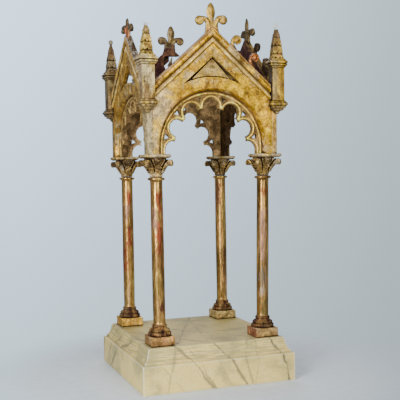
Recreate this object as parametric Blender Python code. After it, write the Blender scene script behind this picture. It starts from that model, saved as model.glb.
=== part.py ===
"""Gilt wood Gothic canopy on four columns, standing on a moulded, marbled plinth.

Everything is written in millimetres and turned into metres when a mesh is made.
+Z is up, the front faces -Y, and the origin is the centre of the plinth's underside.

Walls, rakes, finials and crockets are drawn in the wall's own plane: u runs to the
right along the wall as seen from outside, z is the height, and the depth is measured
inwards from the wall's outer face, so a negative depth stands proud of it.
"""
import math

import bmesh
import bpy
from mathutils import Matrix, Vector
from mathutils.geometry import delaunay_2d_cdt

MM = 0.001
GAP = 0.3                      # clearance between touching pieces

# Plinth
PLINTH_HALF = 190.0
PLINTH_TOP = 103.6
LEDGE_Z = 67.6

# Columns
COLUMN_AXIS = 131.6            # distance of each column's axis from the middle, both ways
FOOT_HALF = 28.4
FOOT_TOP = 125.8
NECK_TOP = 493.6
SHAFT_SIDES = 12
CAPITAL_TOP = 536.4
CAPITAL_SHIFT = 1.8            # the capital leans out a little under its abacus
VOLUTE_RADIUS = 40.0
# how far each column's head stands to the right of its foot
COLUMN_LEAN = {"front_left": -1.5, "front_right": 4.5, "back_right": -1.5, "back_left": 0.0}

# Abacus
ABACUS_AXIS = 135.5
ABACUS_HALF = 29.3
ABACUS_TOP = 545.6

# Gable walls
WALL_FACE = 161.0              # distance of a wall's outer face from the middle
OUTER_BOARD = 15.0             # thickness of the front and back outer boards
SIDE_BOARD = 13.0              # thickness of the side boards, whose ends show at the front
INNER_BOARD = 11.4             # thickness of the fretted inner boards
INNER_END = 143.0              # the inner boards reach no further towards the corners
INNER_TOP_Z = 704.0            # and no higher
APEX_Z = 836.4
SLOPE = 0.89                   # rise of the gable for each unit of width
SHOULDER_Z = 670.0             # the pinnacle shafts stand on the wall's shoulders here
SHOULDER_END = 143.4           # where a gable's slope stops beside a pinnacle shaft

# Arch and tracery, all struck from one centre
ARCH_Z = 562.5
ARCH_RADIUS = 134.0
ARCH_BACK_RADIUS = 128.5       # the reveal narrows to this at the inner board
ARCH_STEPS = 24
FOIL_RADIUS = 20.3
FOIL_CENTRE = 93.5
FOIL_PITCH = 31.3              # degrees between two foils
FOIL_STEPS = 6
CUSP_HALF = 6.2                # half width of a cusp's blunt end
CUSP_RADIUS = 90.3
CUSP_NOTCH_RADIUS = 93.0
EYELET = ((104.5, 0.0), (117.0, 6.8), (117.0, -6.8))

# Triangular piercing above the arch
PIERCE_APEX_Z = 769.0
PIERCE_TAIL_U = 73.0
PIERCE_ARC_RADIUS = 160.0
PIERCE_ARC_STEPS = 8

# The panel in the front triangle
PANEL_FACE = 4.5               # depth of its raised field
PANEL_REBATE = 11.0            # and of the rebate around the field
PANEL_REACH = 25.2             # degrees that its back reaches along the arc, each way

# Pinnacles, square on plan
PINNACLE_AXIS = 160.0
PINNACLE_TOP = 767.5
SHAFT_HALF = 14.7
TWIST = {"front_left": 3.0, "front_right": -5.0, "back_right": 0.0, "back_left": 2.0}
LEAN = {"front_left": 0.5, "front_right": -3.0, "back_right": 0.0, "back_left": 0.0}

# Finials: each was carved and set by hand, so its curl centres, tip and curl radius differ
PLATE_MIDDLE = 4.0             # depth of the middle of the carved plates
SEAT = 0.35                    # clearance over the rake
FINIAL_HALF = 4.4              # half thickness
FINIALS = {
    "front": {"left": (-30.4, 850.5), "right": (27.6, 854.5), "tip": (-2.5, 892.4), "curl": 10.2},
    "right": {"left": (-35.0, 852.0), "right": (24.0, 855.0), "tip": (1.0, 892.4), "curl": 10.2},
    "back": {"left": (-30.0, 853.4), "right": (21.6, 853.4), "tip": (-4.5, 893.8), "curl": 10.2},
    "left": {"left": (-42.0, 856.0), "right": (31.0, 850.5), "tip": (-4.0, 878.7), "curl": 10.0},
}

# Crockets: the leaves that still stand on the rakes
CROCKET_HALF = 5.6             # half thickness
WIDE_CROCKET_HALF = 7.4        # and that of the fullest one
CROCKET_UPPER = 61.6           # distance of the upper and lower crockets' curls from the apex
CROCKET_LOWER = 106.5
CURL_LIFT = 28.0
CURL_RADIUS = 10.8

CORNERS = (("front_left", -1, -1), ("front_right", 1, -1), ("back_right", 1, 1), ("back_left", -1, 1))
WALLS = (("front", 0), ("right", 90), ("back", 180), ("left", 270))

GOLD = (0.46, 0.31, 0.12)
DULL_GOLD = (0.36, 0.27, 0.15)
RED_GOLD = (0.42, 0.20, 0.09)
MAROON = (0.12, 0.05, 0.04)
MARBLE = (0.66, 0.60, 0.45)


# ---------------------------------------------------------------- scene and meshes

def clear_scene():
    for old in list(bpy.data.objects):
        bpy.data.objects.remove(old, do_unlink=True)


def material(name, colour, roughness, metallic):
    mat = bpy.data.materials.new(name)
    mat.use_nodes = True
    shader = mat.node_tree.nodes["Principled BSDF"]
    shader.inputs["Base Color"].default_value = (*colour, 1.0)
    shader.inputs["Roughness"].default_value = roughness
    shader.inputs["Metallic"].default_value = metallic
    return mat


def add_object(name, mesh, colour, turn=0.0, place=(0.0, 0.0, 0.0), roughness=0.45, metallic=0.6):
    """Link one object, with a material of its own, turned about Z by a number of degrees."""
    obj = bpy.data.objects.new(name, mesh)
    obj.location = Vector(place) * MM
    obj.rotation_euler = (0.0, 0.0, math.radians(turn))
    bpy.context.collection.objects.link(obj)
    obj.data.materials.append(material(name, colour, roughness, metallic))
    return obj


def mesh_from(name, bm, smooth_angle=None):
    bmesh.ops.recalc_face_normals(bm, faces=bm.faces)
    bmesh.ops.scale(bm, vec=(MM, MM, MM), verts=bm.verts)
    mesh = bpy.data.meshes.new(name)
    bm.to_mesh(mesh)
    bm.free()
    if smooth_angle is not None:
        mesh.shade_smooth()
        mesh.set_sharp_from_angle(angle=math.radians(smooth_angle))
    return mesh


def bridge(bm, rings):
    """Join closed rings of equal length with quads."""
    for low, high in zip(rings, rings[1:]):
        count = len(low)
        for i in range(count):
            j = (i + 1) % count
            bm.faces.new((low[i], low[j], high[j], high[i]))


def turned(name, profile, sides, first_angle=0.0):
    """A solid turned about Z from (radius, height) points given from bottom to top."""
    bm = bmesh.new()
    rings = []
    for radius, height in profile:
        ring = []
        for i in range(sides):
            angle = math.radians(first_angle + 360.0 * i / sides)
            ring.append(bm.verts.new((radius * math.cos(angle), radius * math.sin(angle), height)))
        rings.append(ring)
    bridge(bm, rings)
    bm.faces.new(rings[0])
    bm.faces.new(rings[-1])
    return mesh_from(name, bm, 40)


def square_stack(name, profile):
    """A square block from (half width, height) points given from bottom to top."""
    bm = bmesh.new()
    rings = []
    for half, height in profile:
        corners = ((-half, -half), (half, -half), (half, half), (-half, half))
        rings.append([bm.verts.new((x, y, height)) for x, y in corners])
    bridge(bm, rings)
    bm.faces.new(rings[0])
    bm.faces.new(rings[-1])
    return mesh_from(name, bm)


def arc(centre, radius, start, end, steps):
    """Points on an arc between two angles in degrees, both ends included."""
    points = []
    for i in range(steps + 1):
        angle = math.radians(start + (end - start) * i / steps)
        points.append((centre[0] + radius * math.cos(angle), centre[1] + radius * math.sin(angle)))
    return points


def inside(point, loop):
    """Even-odd test of a point against a closed outline."""
    x, y = point
    hit = False
    for (ax, ay), (bx, by) in zip(loop, loop[1:] + loop[:1]):
        if (ay > y) != (by > y) and x < ax + (y - ay) / (by - ay) * (bx - ax):
            hit = not hit
    return hit


def triangles_of(loops):
    """Triangulate the first outline less the others, as index triples over all their points."""
    points = [Vector(p) for loop in loops for p in loop]
    edges = []
    start = 0
    for loop in loops:
        count = len(loop)
        edges += [(start + i, start + (i + 1) % count) for i in range(count)]
        start += count
    coords, _, faces, originals, _, _ = delaunay_2d_cdt(points, edges, [], 0, 1e-6)
    kept = []
    for face in faces:
        a, b, c = (coords[i] for i in face)
        middle = (a + b + c) / 3.0
        flat = abs((b - a).cross(c - a)) < 0.05
        if not flat and inside(middle, loops[0]) and not any(inside(middle, hole) for hole in loops[1:]):
            kept.append([originals[i][0] for i in face])
    return kept


def board(name, front_loops, back_loops, front_depth, back_depth):
    """A flat board of the front wall. Its outlines may differ from front to back."""
    bm = bmesh.new()
    sheets = []
    for loops, depth in ((front_loops, front_depth), (back_loops, back_depth)):
        verts = [bm.verts.new((u, depth - WALL_FACE, z)) for loop in loops for u, z in loop]
        for face in triangles_of(loops):
            bm.faces.new([verts[i] for i in face])
        sheets.append(verts)
    start = 0
    for loop in front_loops:
        count = len(loop)
        bridge(bm, [sheet[start:start + count] for sheet in sheets])
        start += count
    return mesh_from(name, bm)


def cut(obj, cutter_mesh, name):
    """Take a cutter out of an object with an exact Boolean."""
    cutter = bpy.data.objects.new(name, cutter_mesh)
    bpy.context.collection.objects.link(cutter)
    cutter.parent = obj
    cutter.hide_render = True
    cutter.display_type = "WIRE"
    modifier = obj.modifiers.new(name, "BOOLEAN")
    modifier.operation = "DIFFERENCE"
    modifier.solver = "EXACT"
    modifier.object = cutter


def hull(name, points):
    """The convex solid around a set of points."""
    bm = bmesh.new()
    for point in points:
        bm.verts.new(point)
    bmesh.ops.convex_hull(bm, input=bm.verts)
    return mesh_from(name, bm)


# ---------------------------------------------------------------- plinth and columns

def build_plinth():
    profile = [(PLINTH_HALF, 0.0), (PLINTH_HALF, LEDGE_Z - 1.6), (PLINTH_HALF - 1.4, LEDGE_Z)]
    # a small fillet, a cove, a second fillet and a shallow ovolo up to the top slab
    profile += [(183.0, LEDGE_Z), (183.0, 72.4), (181.6, 74.0)]
    profile += [(178.6, 76.4), (176.4, 80.0), (175.4, 84.2), (175.4, 86.6)]
    profile += [(173.4, 87.4), (172.9, 93.0), (171.6, 98.6), (169.5, 102.4), (168.4, PLINTH_TOP)]
    add_object("plinth", square_stack("plinth", profile), MARBLE, roughness=0.4, metallic=0.0)


def column_profile():
    """Torus, rings, shaft with a slight swelling, and the neck ring under the capital."""
    base = [(26.8, FOOT_TOP + GAP), (27.5, 130.0), (26.2, 134.2), (23.4, 136.0), (24.0, 138.6)]
    base += [(21.6, 141.6), (18.6, 143.8), (17.0, 146.4), (17.8, 149.2), (16.4, 151.6)]
    shaft = [(14.1, 153.6), (14.6, 250.0), (14.6, 340.0), (14.1, 484.0), (14.4, 486.6)]
    neck = [(17.6, 487.2), (19.4, 489.6), (17.6, 492.0), (14.4, NECK_TOP)]
    return base + shaft + neck


def leaned(mesh, lean):
    """A copy of an upright turned piece whose head has moved to the right."""
    made = mesh.copy()
    low, high = FOOT_TOP * MM, NECK_TOP * MM
    for vertex in made.vertices:
        vertex.co.x += lean * MM * (vertex.co.z - low) / (high - low)
    return made


def build_columns():
    foot = square_stack("foot_block", [
        (FOOT_HALF - 0.8, PLINTH_TOP + GAP), (FOOT_HALF, PLINTH_TOP + 2.0),
        (FOOT_HALF, FOOT_TOP - 1.2), (FOOT_HALF - 1.2, FOOT_TOP),
    ])
    shaft = turned("column", column_profile(), SHAFT_SIDES, 15.0)
    for corner, side_x, side_y in CORNERS:
        place = (side_x * COLUMN_AXIS, side_y * COLUMN_AXIS, 0.0)
        add_object("foot_block_" + corner, foot.copy(), GOLD, place=place)
        add_object("column_" + corner, leaned(shaft, COLUMN_LEAN[corner]), RED_GOLD, place=place)


def capital_rows():
    """(plain radius, corner radius, plain height, corner height) from the neck to the top.

    The plain values follow the leafy bell over a flat side. The corner values follow the
    stalk that leaves the bell on the diagonal and rolls over into a volute.
    """
    low = NECK_TOP + GAP
    return [
        (14.2, 14.2, low, low),
        (14.6, 15.4, 499.0, 499.0),
        (18.0, 17.4, 507.0, 506.0),
        (15.8, 17.8, 511.5, 510.5),
        (17.6, 22.4, 516.0, 515.0),
        (21.2, 28.6, 521.0, 521.6),
        (20.6, 33.0, 524.6, 520.4),
        (22.4, 38.4, 527.6, 523.0),
        (25.0, VOLUTE_RADIUS, 530.8, 528.4),
        (26.2, 38.6, 533.8, 533.6),
        (25.4, 33.0, CAPITAL_TOP, CAPITAL_TOP),
    ]


def capital_mesh():
    """A bell whose profile changes round it, from the plain sides to the four corner volutes."""
    columns = []
    for quarter in range(4):
        for step, weight in ((0.0, 0.0), (32.0, 0.22), (45.0, 1.0), (58.0, 0.22)):
            columns.append((90.0 * quarter + step, weight))
    bm = bmesh.new()
    rings = []
    low = NECK_TOP + GAP
    for plain_radius, corner_radius, plain_z, corner_z in capital_rows():
        ring = []
        for angle, weight in columns:
            radius = plain_radius + weight * (corner_radius - plain_radius)
            height = plain_z + weight * (corner_z - plain_z)
            shift = CAPITAL_SHIFT * (height - low) / (CAPITAL_TOP - low)
            x = radius * math.cos(math.radians(angle)) + shift
            y = radius * math.sin(math.radians(angle)) + shift
            ring.append(bm.verts.new((x, y, height)))
        rings.append(ring)
    bridge(bm, rings)
    bm.faces.new(rings[0])
    bm.faces.new(rings[-1])
    return mesh_from("capital", bm)


def build_capitals():
    capital = capital_mesh()
    abacus = square_stack("abacus", [
        (25.6, CAPITAL_TOP + GAP), (26.8, 538.2), (28.8, 539.6),
        (ABACUS_HALF, 541.8), (28.9, 544.2), (27.8, ABACUS_TOP),
    ])
    # the capital's mesh leans towards +X +Y, so each one is turned to its own corner
    turns = {"back_right": 0, "back_left": 90, "front_left": 180, "front_right": 270}
    for corner, side_x, side_y in CORNERS:
        lean = COLUMN_LEAN[corner]
        place = (side_x * COLUMN_AXIS + lean, side_y * COLUMN_AXIS, 0.0)
        add_object("capital_" + corner, capital.copy(), DULL_GOLD, turn=turns[corner], place=place)
        place = (side_x * ABACUS_AXIS + lean, side_y * ABACUS_AXIS, 0.0)
        add_object("abacus_" + corner, abacus.copy(), GOLD, place=place)


# ---------------------------------------------------------------- gable walls

def rake(u):
    """Height of the gable's upper edge."""
    return APEX_Z - SLOPE * abs(u)


def arch_curve(radius):
    """The stilted round arch from its left foot, over the crown, to its right foot."""
    foot_z = ABACUS_TOP + GAP
    return [(-radius, foot_z)] + arc((0.0, ARCH_Z), radius, 180.0, 0.0, ARCH_STEPS) + [(radius, foot_z)]


def polar(radius, degrees, sideways=0.0):
    """A point about the arch's centre, moved sideways against the clock."""
    angle = math.radians(degrees)
    u = radius * math.cos(angle) - sideways * math.sin(angle)
    z = ARCH_Z + radius * math.sin(angle) + sideways * math.cos(angle)
    return (u, z)


def cusped_curve():
    """The seven-foiled edge of the tracery, from its left foot to its right foot."""
    foot_z = ABACUS_TOP + GAP
    points = []
    for k in range(3, -4, -1):
        direction = 90.0 + FOIL_PITCH * k
        centre = polar(FOIL_CENTRE, direction)
        start = 180.0 if k == 3 else direction + 97.0
        end = 0.0 if k == -3 else direction - 97.0
        points += arc(centre, FOIL_RADIUS, start, end, FOIL_STEPS)
        if k > -3:
            cusp = direction - FOIL_PITCH / 2.0
            points.append(polar(CUSP_RADIUS, cusp, CUSP_HALF))
            points.append(polar(CUSP_NOTCH_RADIUS, cusp))
            points.append(polar(CUSP_RADIUS, cusp, -CUSP_HALF))
    left = points[0][0]
    return [(left, foot_z)] + points + [(-left, foot_z)]


def eyelets():
    """The small piercing above each cusp."""
    loops = []
    for k in range(-3, 3):
        middle = 90.0 + FOIL_PITCH * (k + 0.5)
        loops.append([polar(radius, middle, sideways) for radius, sideways in EYELET])
    return loops


def pierce_arc():
    """The lower edge of the triangular piercing, from its left tail to its right tail."""
    reach = math.degrees(math.asin(PIERCE_TAIL_U / PIERCE_ARC_RADIUS))
    return arc((0.0, ARCH_Z), PIERCE_ARC_RADIUS, 90.0 + reach, 90.0 - reach, PIERCE_ARC_STEPS)


def pierce_side(u):
    return PIERCE_APEX_Z - SLOPE * abs(u)


def broken_head(reach):
    """The back gable's top edge, with its lost stretch of rake, from the right end to the left.

    The break runs into the triangular piercing, so both are one open notch. What is left
    above it is a block under the finial, carried by the other rake.
    """
    notch = [(62.0, rake(62.0)), (54.0, 775.0), (47.0, 765.0), (40.0, 746.0), (37.0, pierce_side(37.0))]
    notch += [(PIERCE_TAIL_U, pierce_side(PIERCE_TAIL_U))]
    notch += list(reversed(pierce_arc()))[1:-1]
    notch += [(-PIERCE_TAIL_U, pierce_side(-PIERCE_TAIL_U)), (-8.0, pierce_side(-8.0))]
    notch += [(-17.0, 782.0), (-20.0, 790.0), (-20.0, 802.0), (-16.5, 811.5), (26.0, 813.4)]
    seen_outside = [(-u, z) for u, z in reversed(notch)]
    return [(0.0, APEX_Z)] + seen_outside + [(-reach, rake(reach))]


def wall_head(side, reach):
    """The gable's edge from the right end, over the apex, to the left end."""
    if side == "back":
        return [(reach, rake(reach))] + broken_head(reach)
    return [(reach, rake(reach)), (0.0, APEX_Z), (-reach, rake(reach))]


def board_thickness(side):
    return OUTER_BOARD if side in ("front", "back") else SIDE_BOARD


def outer_loops(side, depth):
    """Outline and piercing of the outer board at a depth from its face.

    The front and back boards stand between the side boards, whose ends run through.
    """
    end = WALL_FACE - SIDE_BOARD - GAP if side in ("front", "back") else WALL_FACE
    radius = ARCH_RADIUS if depth == 0.0 else ARCH_BACK_RADIUS
    foot_z = ABACUS_TOP + GAP
    outline = [(-end, foot_z)] + arch_curve(radius) + [(end, foot_z), (end, SHOULDER_Z)]
    outline += [(SHOULDER_END, SHOULDER_Z)] + wall_head(side, SHOULDER_END)
    outline += [(-SHOULDER_END, SHOULDER_Z), (-end, SHOULDER_Z)]
    if side == "back":
        return [outline]
    return [outline, [(0.0, PIERCE_APEX_Z)] + pierce_arc()]


def inner_loops(depth):
    """Outline and eyelets of the fretted inner board at a depth from the outer face."""
    end = min(WALL_FACE - depth - GAP / 2.0, INNER_END)
    foot_z = ABACUS_TOP + GAP
    outline = [(-end, foot_z)] + cusped_curve()
    outline += [(end, foot_z), (end, INNER_TOP_Z), (-end, INNER_TOP_Z)]
    return [outline] + eyelets()


def build_walls():
    """Each wall is an outer board with the round arch and an inner board with the tracery."""
    for side, turn in WALLS:
        thick = board_thickness(side)
        front, back = outer_loops(side, 0.0), outer_loops(side, thick)
        add_object("wall_" + side, board("wall", front, back, 0.0, thick), GOLD, turn=turn)
        near, far = thick + GAP, thick + INNER_BOARD
        fret = board("tracery", inner_loops(near), inner_loops(far), near, far)
        add_object("tracery_" + side, fret, DULL_GOLD, turn=turn)


def build_front_panel():
    """The panel in the front gable's triangle: a raised field on a thin back that fits the opening."""
    field = [(-0.5, PIERCE_APEX_Z - 4.0)] + arc((0.0, ARCH_Z), PIERCE_ARC_RADIUS + 2.6, 107.9, 75.0, 6)
    back = [(0.0, PIERCE_APEX_Z - 1.5 * GAP)]
    back += arc((0.0, ARCH_Z), PIERCE_ARC_RADIUS + 1.5 * GAP, 90.0 + PANEL_REACH, 90.0 - PANEL_REACH, 8)
    bm = bmesh.new()
    rows = []
    for loop, depth in ((field, PANEL_FACE), (field, PANEL_REBATE), (back, PANEL_REBATE), (back, OUTER_BOARD)):
        rows.append([bm.verts.new((u, depth - WALL_FACE, z)) for u, z in loop])
    bridge(bm, rows[:2])
    bridge(bm, rows[2:])
    for loops, verts in (([field], rows[0]), ([back, field], rows[2] + rows[1]), ([back], rows[3])):
        for face in triangles_of(loops):
            bm.faces.new([verts[i] for i in face])
    add_object("front_panel", mesh_from("front_panel", bm), DULL_GOLD)


# ---------------------------------------------------------------- raking mouldings

def rake_profile():
    """(distance below the edge, height above the wall's face), measured square to the slope."""
    band = [(0.0, 0.0), (0.0, 4.0), (2.4, 4.8), (4.8, 3.8), (7.4, 4.6), (10.6, 3.8), (11.1, 0.8)]
    cove = [(13.4, 0.8), (15.6, 2.2)]
    bead = [(18.2, 3.9), (20.4, 2.6), (21.2, 0.8), (23.0, 0.9), (24.6, 1.5), (26.6, 0.7), (26.6, 0.0)]
    return band + cove + bead


def rake_mesh(name, start, end):
    """A moulding planted on the face between two distances from the apex, mitred at the top."""
    bm = bmesh.new()
    square_to_slope = math.sqrt(1.0 + SLOPE * SLOPE)
    rings = []
    for u in (start, end):
        ring = []
        for below, proud in rake_profile():
            depth = -GAP - proud
            ring.append(bm.verts.new((u, depth - WALL_FACE, rake(u) - below * square_to_slope)))
        rings.append(ring)
    bridge(bm, rings)
    bm.faces.new(rings[0])
    bm.faces.new(rings[1])
    return mesh_from(name, bm)


def build_rakes():
    near, far = GAP / 2.0, SHOULDER_END + 0.6
    for side, turn in WALLS:
        for hand, sign in (("left", -1.0), ("right", 1.0)):
            name = "rake_{}_{}".format(side, hand)
            # the back gable has lost the upper stretch of one moulding
            start = 62.5 if name == "rake_back_left" else near
            add_object(name, rake_mesh(name, sign * start, sign * far), GOLD, turn=turn)


# ---------------------------------------------------------------- finials and crockets

def finial_half(curl, curl_radius, lobe_u, top_z):
    """Points on the right of a fleur-de-lis, from the seat up to just under the tip."""
    toe = 25.0
    points = [(toe, rake(toe) + SEAT), (toe + 0.6, rake(toe) + 4.5), (16.6, 833.0)]
    points += arc(curl, curl_radius, -135.0, 150.0, 9)
    waist_z = curl[1] + 1.5
    points.append((lobe_u + 9.0, waist_z))
    points.append((lobe_u + 10.6, waist_z + 0.42 * (top_z - waist_z)))
    points.append((lobe_u + 7.0, waist_z + 0.72 * (top_z - waist_z)))
    return points


def finial_outline(shape):
    tip_u, tip_z = shape["tip"]
    right = finial_half(shape["right"], shape["curl"], tip_u, tip_z)
    flipped = (-shape["left"][0], shape["left"][1])
    left = [(-u, z) for u, z in finial_half(flipped, shape["curl"], -tip_u, tip_z)]
    return [(0.0, APEX_Z + SEAT)] + right + [(tip_u, tip_z)] + list(reversed(left))


def build_finials():
    for side, turn in WALLS:
        outline = finial_outline(FINIALS[side])
        low, high = PLATE_MIDDLE - FINIAL_HALF, PLATE_MIDDLE + FINIAL_HALF
        mesh = board("finial_" + side, [outline], [outline], low, high)
        add_object("finial_" + side, mesh, GOLD, turn=turn)


def crocket_outline(u):
    """A leaf that leaves the rake, leans to the apex and rolls over down the slope."""
    centre = (u, rake(u) + CURL_LIFT)
    points = [(u - 16.5, rake(u - 16.5) + SEAT), (u + 2.6, rake(u + 2.6) + SEAT)]
    points += [(u - 1.6, rake(u) + 8.5), (u - 5.6, rake(u) + 18.4)]
    points += arc(centre, CURL_RADIUS, -98.0, 150.0, 9)
    points += [(u - 14.6, centre[1] + 0.5), (u - 17.4, rake(u - 16.5) + 5.0)]
    return points


def stub_outline(u):
    """The splintered stem that stays where a crocket broke off."""
    return [
        (u - 10.0, rake(u - 10.0) + SEAT), (u + 3.0, rake(u + 3.0) + SEAT),
        (u - 3.6, rake(u) + 13.0), (u - 8.8, rake(u) + 25.5), (u - 10.2, rake(u) + 24.0),
        (u - 9.4, rake(u) + 15.0),
    ]


def build_crocket(name, turn, outline, left, half=CROCKET_HALF):
    """Seat one crocket, on the left rake when its outline is mirrored."""
    points = [(-u, z) for u, z in reversed(outline)] if left else outline
    low, high = PLATE_MIDDLE - half, PLATE_MIDDLE + half
    add_object(name, board(name, [points], [points], low, high), DULL_GOLD, turn=turn)


def build_crockets():
    for side, turn, hand in (("front", 0, "right"), ("right", 90, "left"), ("right", 90, "right"),
                             ("back", 180, "right")):
        for level, u in (("upper", CROCKET_UPPER), ("lower", CROCKET_LOWER)):
            name = "crocket_{}_{}_{}".format(side, hand, level)
            half = WIDE_CROCKET_HALF if name == "crocket_right_left_lower" else CROCKET_HALF
            build_crocket(name, turn, crocket_outline(u), hand == "left", half)
    build_crocket("crocket_stub_front", 0, stub_outline(107.5), True)
    build_crocket("crocket_stub_left", 270, stub_outline(52.0), False)


# ---------------------------------------------------------------- pinnacles

def pinnacle_profile():
    """(half width, height) of the pendant drop, lower collar, shaft and upper collar."""
    drop = [(1.4, 638.4), (4.4, 639.8), (5.4, 643.4), (8.6, 645.8), (12.6, 647.0), (12.8, 649.8)]
    lower = [(16.6, 652.8), (18.0, 657.2), (20.4, 658.8), (21.4, 661.4), (20.0, 664.2), (18.8, 666.0)]
    shaft = [(SHAFT_HALF, SHOULDER_Z + GAP), (SHAFT_HALF, 745.6)]
    upper = [(17.6, 748.8), (18.0, 750.4), (20.8, 752.6), (20.4, 756.2)]
    upper += [(21.6, 757.6), (21.4, 760.6), (17.8, 763.6), (16.4, PINNACLE_TOP)]
    return drop + lower + shaft + upper


def square_turned(name, profile):
    """A square solid on the axis from (half width, height) points."""
    return turned(name, [(half * math.sqrt(2.0), height) for half, height in profile], 4, 45.0)


def corner_notch():
    """The body's corner, which the pinnacle's lower part is cut to fit round."""
    face = WALL_FACE + GAP - PINNACLE_AXIS
    reach = 40.0
    section = [(-reach, -reach), (face, -reach), (face, face), (-reach, face)]
    points = [(x, y, height) for height in (620.0, SHOULDER_Z + 0.5 * GAP) for x, y in section]
    return hull("corner_notch", points)


def build_pinnacles():
    """The notch belongs to the back right corner and is turned to the others."""
    turns = {"back_right": 0, "back_left": 90, "front_left": 180, "front_right": 270}
    for corner, side_x, side_y in CORNERS:
        place = (side_x * PINNACLE_AXIS, side_y * PINNACLE_AXIS, 0.0)
        name = "pinnacle_" + corner
        shaft = square_turned(name, pinnacle_profile())
        shaft.transform(Matrix.Rotation(math.radians(TWIST[corner]), 4, "Z"))
        pinnacle = add_object(name, shaft, DULL_GOLD, turn=turns[corner], place=place)
        cut(pinnacle, corner_notch(), "notch_" + corner)


def spirelet_profile(broken):
    """(half width, height) of rows of overlapping scales, with a broken stump or a bud above."""
    low = PINNACLE_TOP + GAP
    rows = [(12.9, low), (11.2, 777.4), (12.4, 778.4), (8.7, 796.6), (9.9, 797.6)]
    rows += [(6.4, 814.6), (7.3, 815.6)]
    if broken:
        return rows + [(4.3, 833.0)]
    return rows + [(4.3, 832.0), (2.4, 838.0), (3.6, 843.0), (4.2, 846.0), (3.2, 849.0), (1.3, 850.4)]


def build_spirelets():
    low = (PINNACLE_TOP + GAP) * MM
    for corner, side_x, side_y in CORNERS:
        mesh = square_turned("spirelet", spirelet_profile(side_y < 0))
        mesh.transform(Matrix.Rotation(math.radians(TWIST[corner]), 4, "Z"))
        # a leaning spirelet is sheared sideways above its base
        shear = math.tan(math.radians(LEAN[corner]))
        for vertex in mesh.vertices:
            vertex.co.x += shear * (vertex.co.z - low)
        place = (side_x * PINNACLE_AXIS, side_y * PINNACLE_AXIS, 0.0)
        add_object("spirelet_" + corner, mesh, GOLD, place=place)


def main():
    clear_scene()
    build_plinth()
    build_columns()
    build_capitals()
    build_walls()
    build_front_panel()
    build_rakes()
    build_finials()
    build_crockets()
    build_pinnacles()
    build_spirelets()


main()
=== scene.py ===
"""The looks of the gilt Gothic canopy: finer meshes, worn gilding and faux marble.

Shapes are drawn in millimetres and turned into metres when a mesh is made. The frame's
+Z is up and its front faces -Y. Wall parts are drawn for the front wall, with u to the
right, z up and the depth measured inwards from the wall's outer face, and then turned.
"""
import math

import bmesh
import bpy
from mathutils import Matrix, Vector, noise


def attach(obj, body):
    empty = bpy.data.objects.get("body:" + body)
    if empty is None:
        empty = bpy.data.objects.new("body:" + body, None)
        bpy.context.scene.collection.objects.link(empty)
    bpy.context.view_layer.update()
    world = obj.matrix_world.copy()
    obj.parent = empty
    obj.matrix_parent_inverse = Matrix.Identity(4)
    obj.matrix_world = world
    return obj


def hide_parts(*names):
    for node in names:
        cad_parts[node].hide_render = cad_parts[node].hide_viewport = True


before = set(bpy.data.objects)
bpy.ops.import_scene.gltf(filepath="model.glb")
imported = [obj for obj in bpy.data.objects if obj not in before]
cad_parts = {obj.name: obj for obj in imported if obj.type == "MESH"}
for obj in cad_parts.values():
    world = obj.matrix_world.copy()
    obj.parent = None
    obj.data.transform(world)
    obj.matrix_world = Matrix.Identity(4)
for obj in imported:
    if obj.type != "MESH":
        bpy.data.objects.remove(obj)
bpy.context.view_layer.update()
MM = 0.001

# ---- sizes, repeated from the solids

PLINTH_HALF = 190.0
PLINTH_LEDGE = 67.6
COLUMN_AXIS = 131.6
FOOT_TOP = 125.8
NECK_TOP = 493.6
CAPITAL_TOP = 536.4
CAPITAL_SHIFT = 1.8
ABACUS_TOP = 545.6
# how far each column's neck stands off its foot, along x
COLUMN_LEAN = {"front_left": -1.5, "front_right": 4.5, "back_right": -1.5, "back_left": 0.0}
SHAFT_RADIUS = 14.2
WALL_FACE = 161.0
OUTER_BOARD = 15.0
SIDE_BOARD = 13.0
APEX_Z = 836.4
SLOPE = 0.89
SHOULDER_Z = 670.0
SHOULDER_END = 143.4
ARCH_Z = 562.5
FOIL_RADIUS = 20.3
FOIL_CENTRE = 93.5
FOIL_PITCH = 31.3
CUSP_RADIUS = 90.3
BROKEN_RAKE_START = 62.5
PINNACLE_AXIS = 160.0
PINNACLE_TOP = 767.5
SHAFT_HALF = 14.7
# how many degrees each pinnacle is turned, and its spirelet leans along x
TWIST = {"front_left": 3.0, "front_right": -5.0, "back_right": 0.0, "back_left": 2.0}
LEAN = {"front_left": 0.5, "front_right": 0.2, "back_right": 0.0, "back_left": 0.0}
PLATE_MIDDLE = 4.0
FINIALS = {
    "front": {"left": (-30.4, 850.5), "right": (27.6, 853.8), "tip": (-2.5, 892.4), "curl": 11.2},
    "right": {"left": (-35.0, 852.0), "right": (24.0, 855.0), "tip": (1.0, 892.4), "curl": 10.2},
    "back": {"left": (-30.0, 853.4), "right": (21.6, 853.4), "tip": (-4.5, 893.8), "curl": 11.2},
    "left": {"left": (-42.0, 856.0), "right": (31.0, 850.5), "tip": (-4.0, 878.7), "curl": 10.0},
}
CROCKET_PLACES = {"upper": 61.6, "lower": 106.5}
CURL_LIFT = 28.0
CURL_RADIUS = 10.8
STUBS = (("front", 107.5, -1.0), ("left", 52.0, 1.0))
GAP = 0.3

CORNERS = {"front_left": (-1, -1), "front_right": (1, -1), "back_right": (1, 1), "back_left": (-1, 1)}
CORNER_TURN = {"back_right": 0, "back_left": 90, "front_left": 180, "front_right": 270}
WALLS = (("front", 0), ("right", 90), ("back", 180), ("left", 270))
WALL_TURN = dict(WALLS)
WALLS_ALONG_X = ("front", "back")


# ---- mesh helpers

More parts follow.
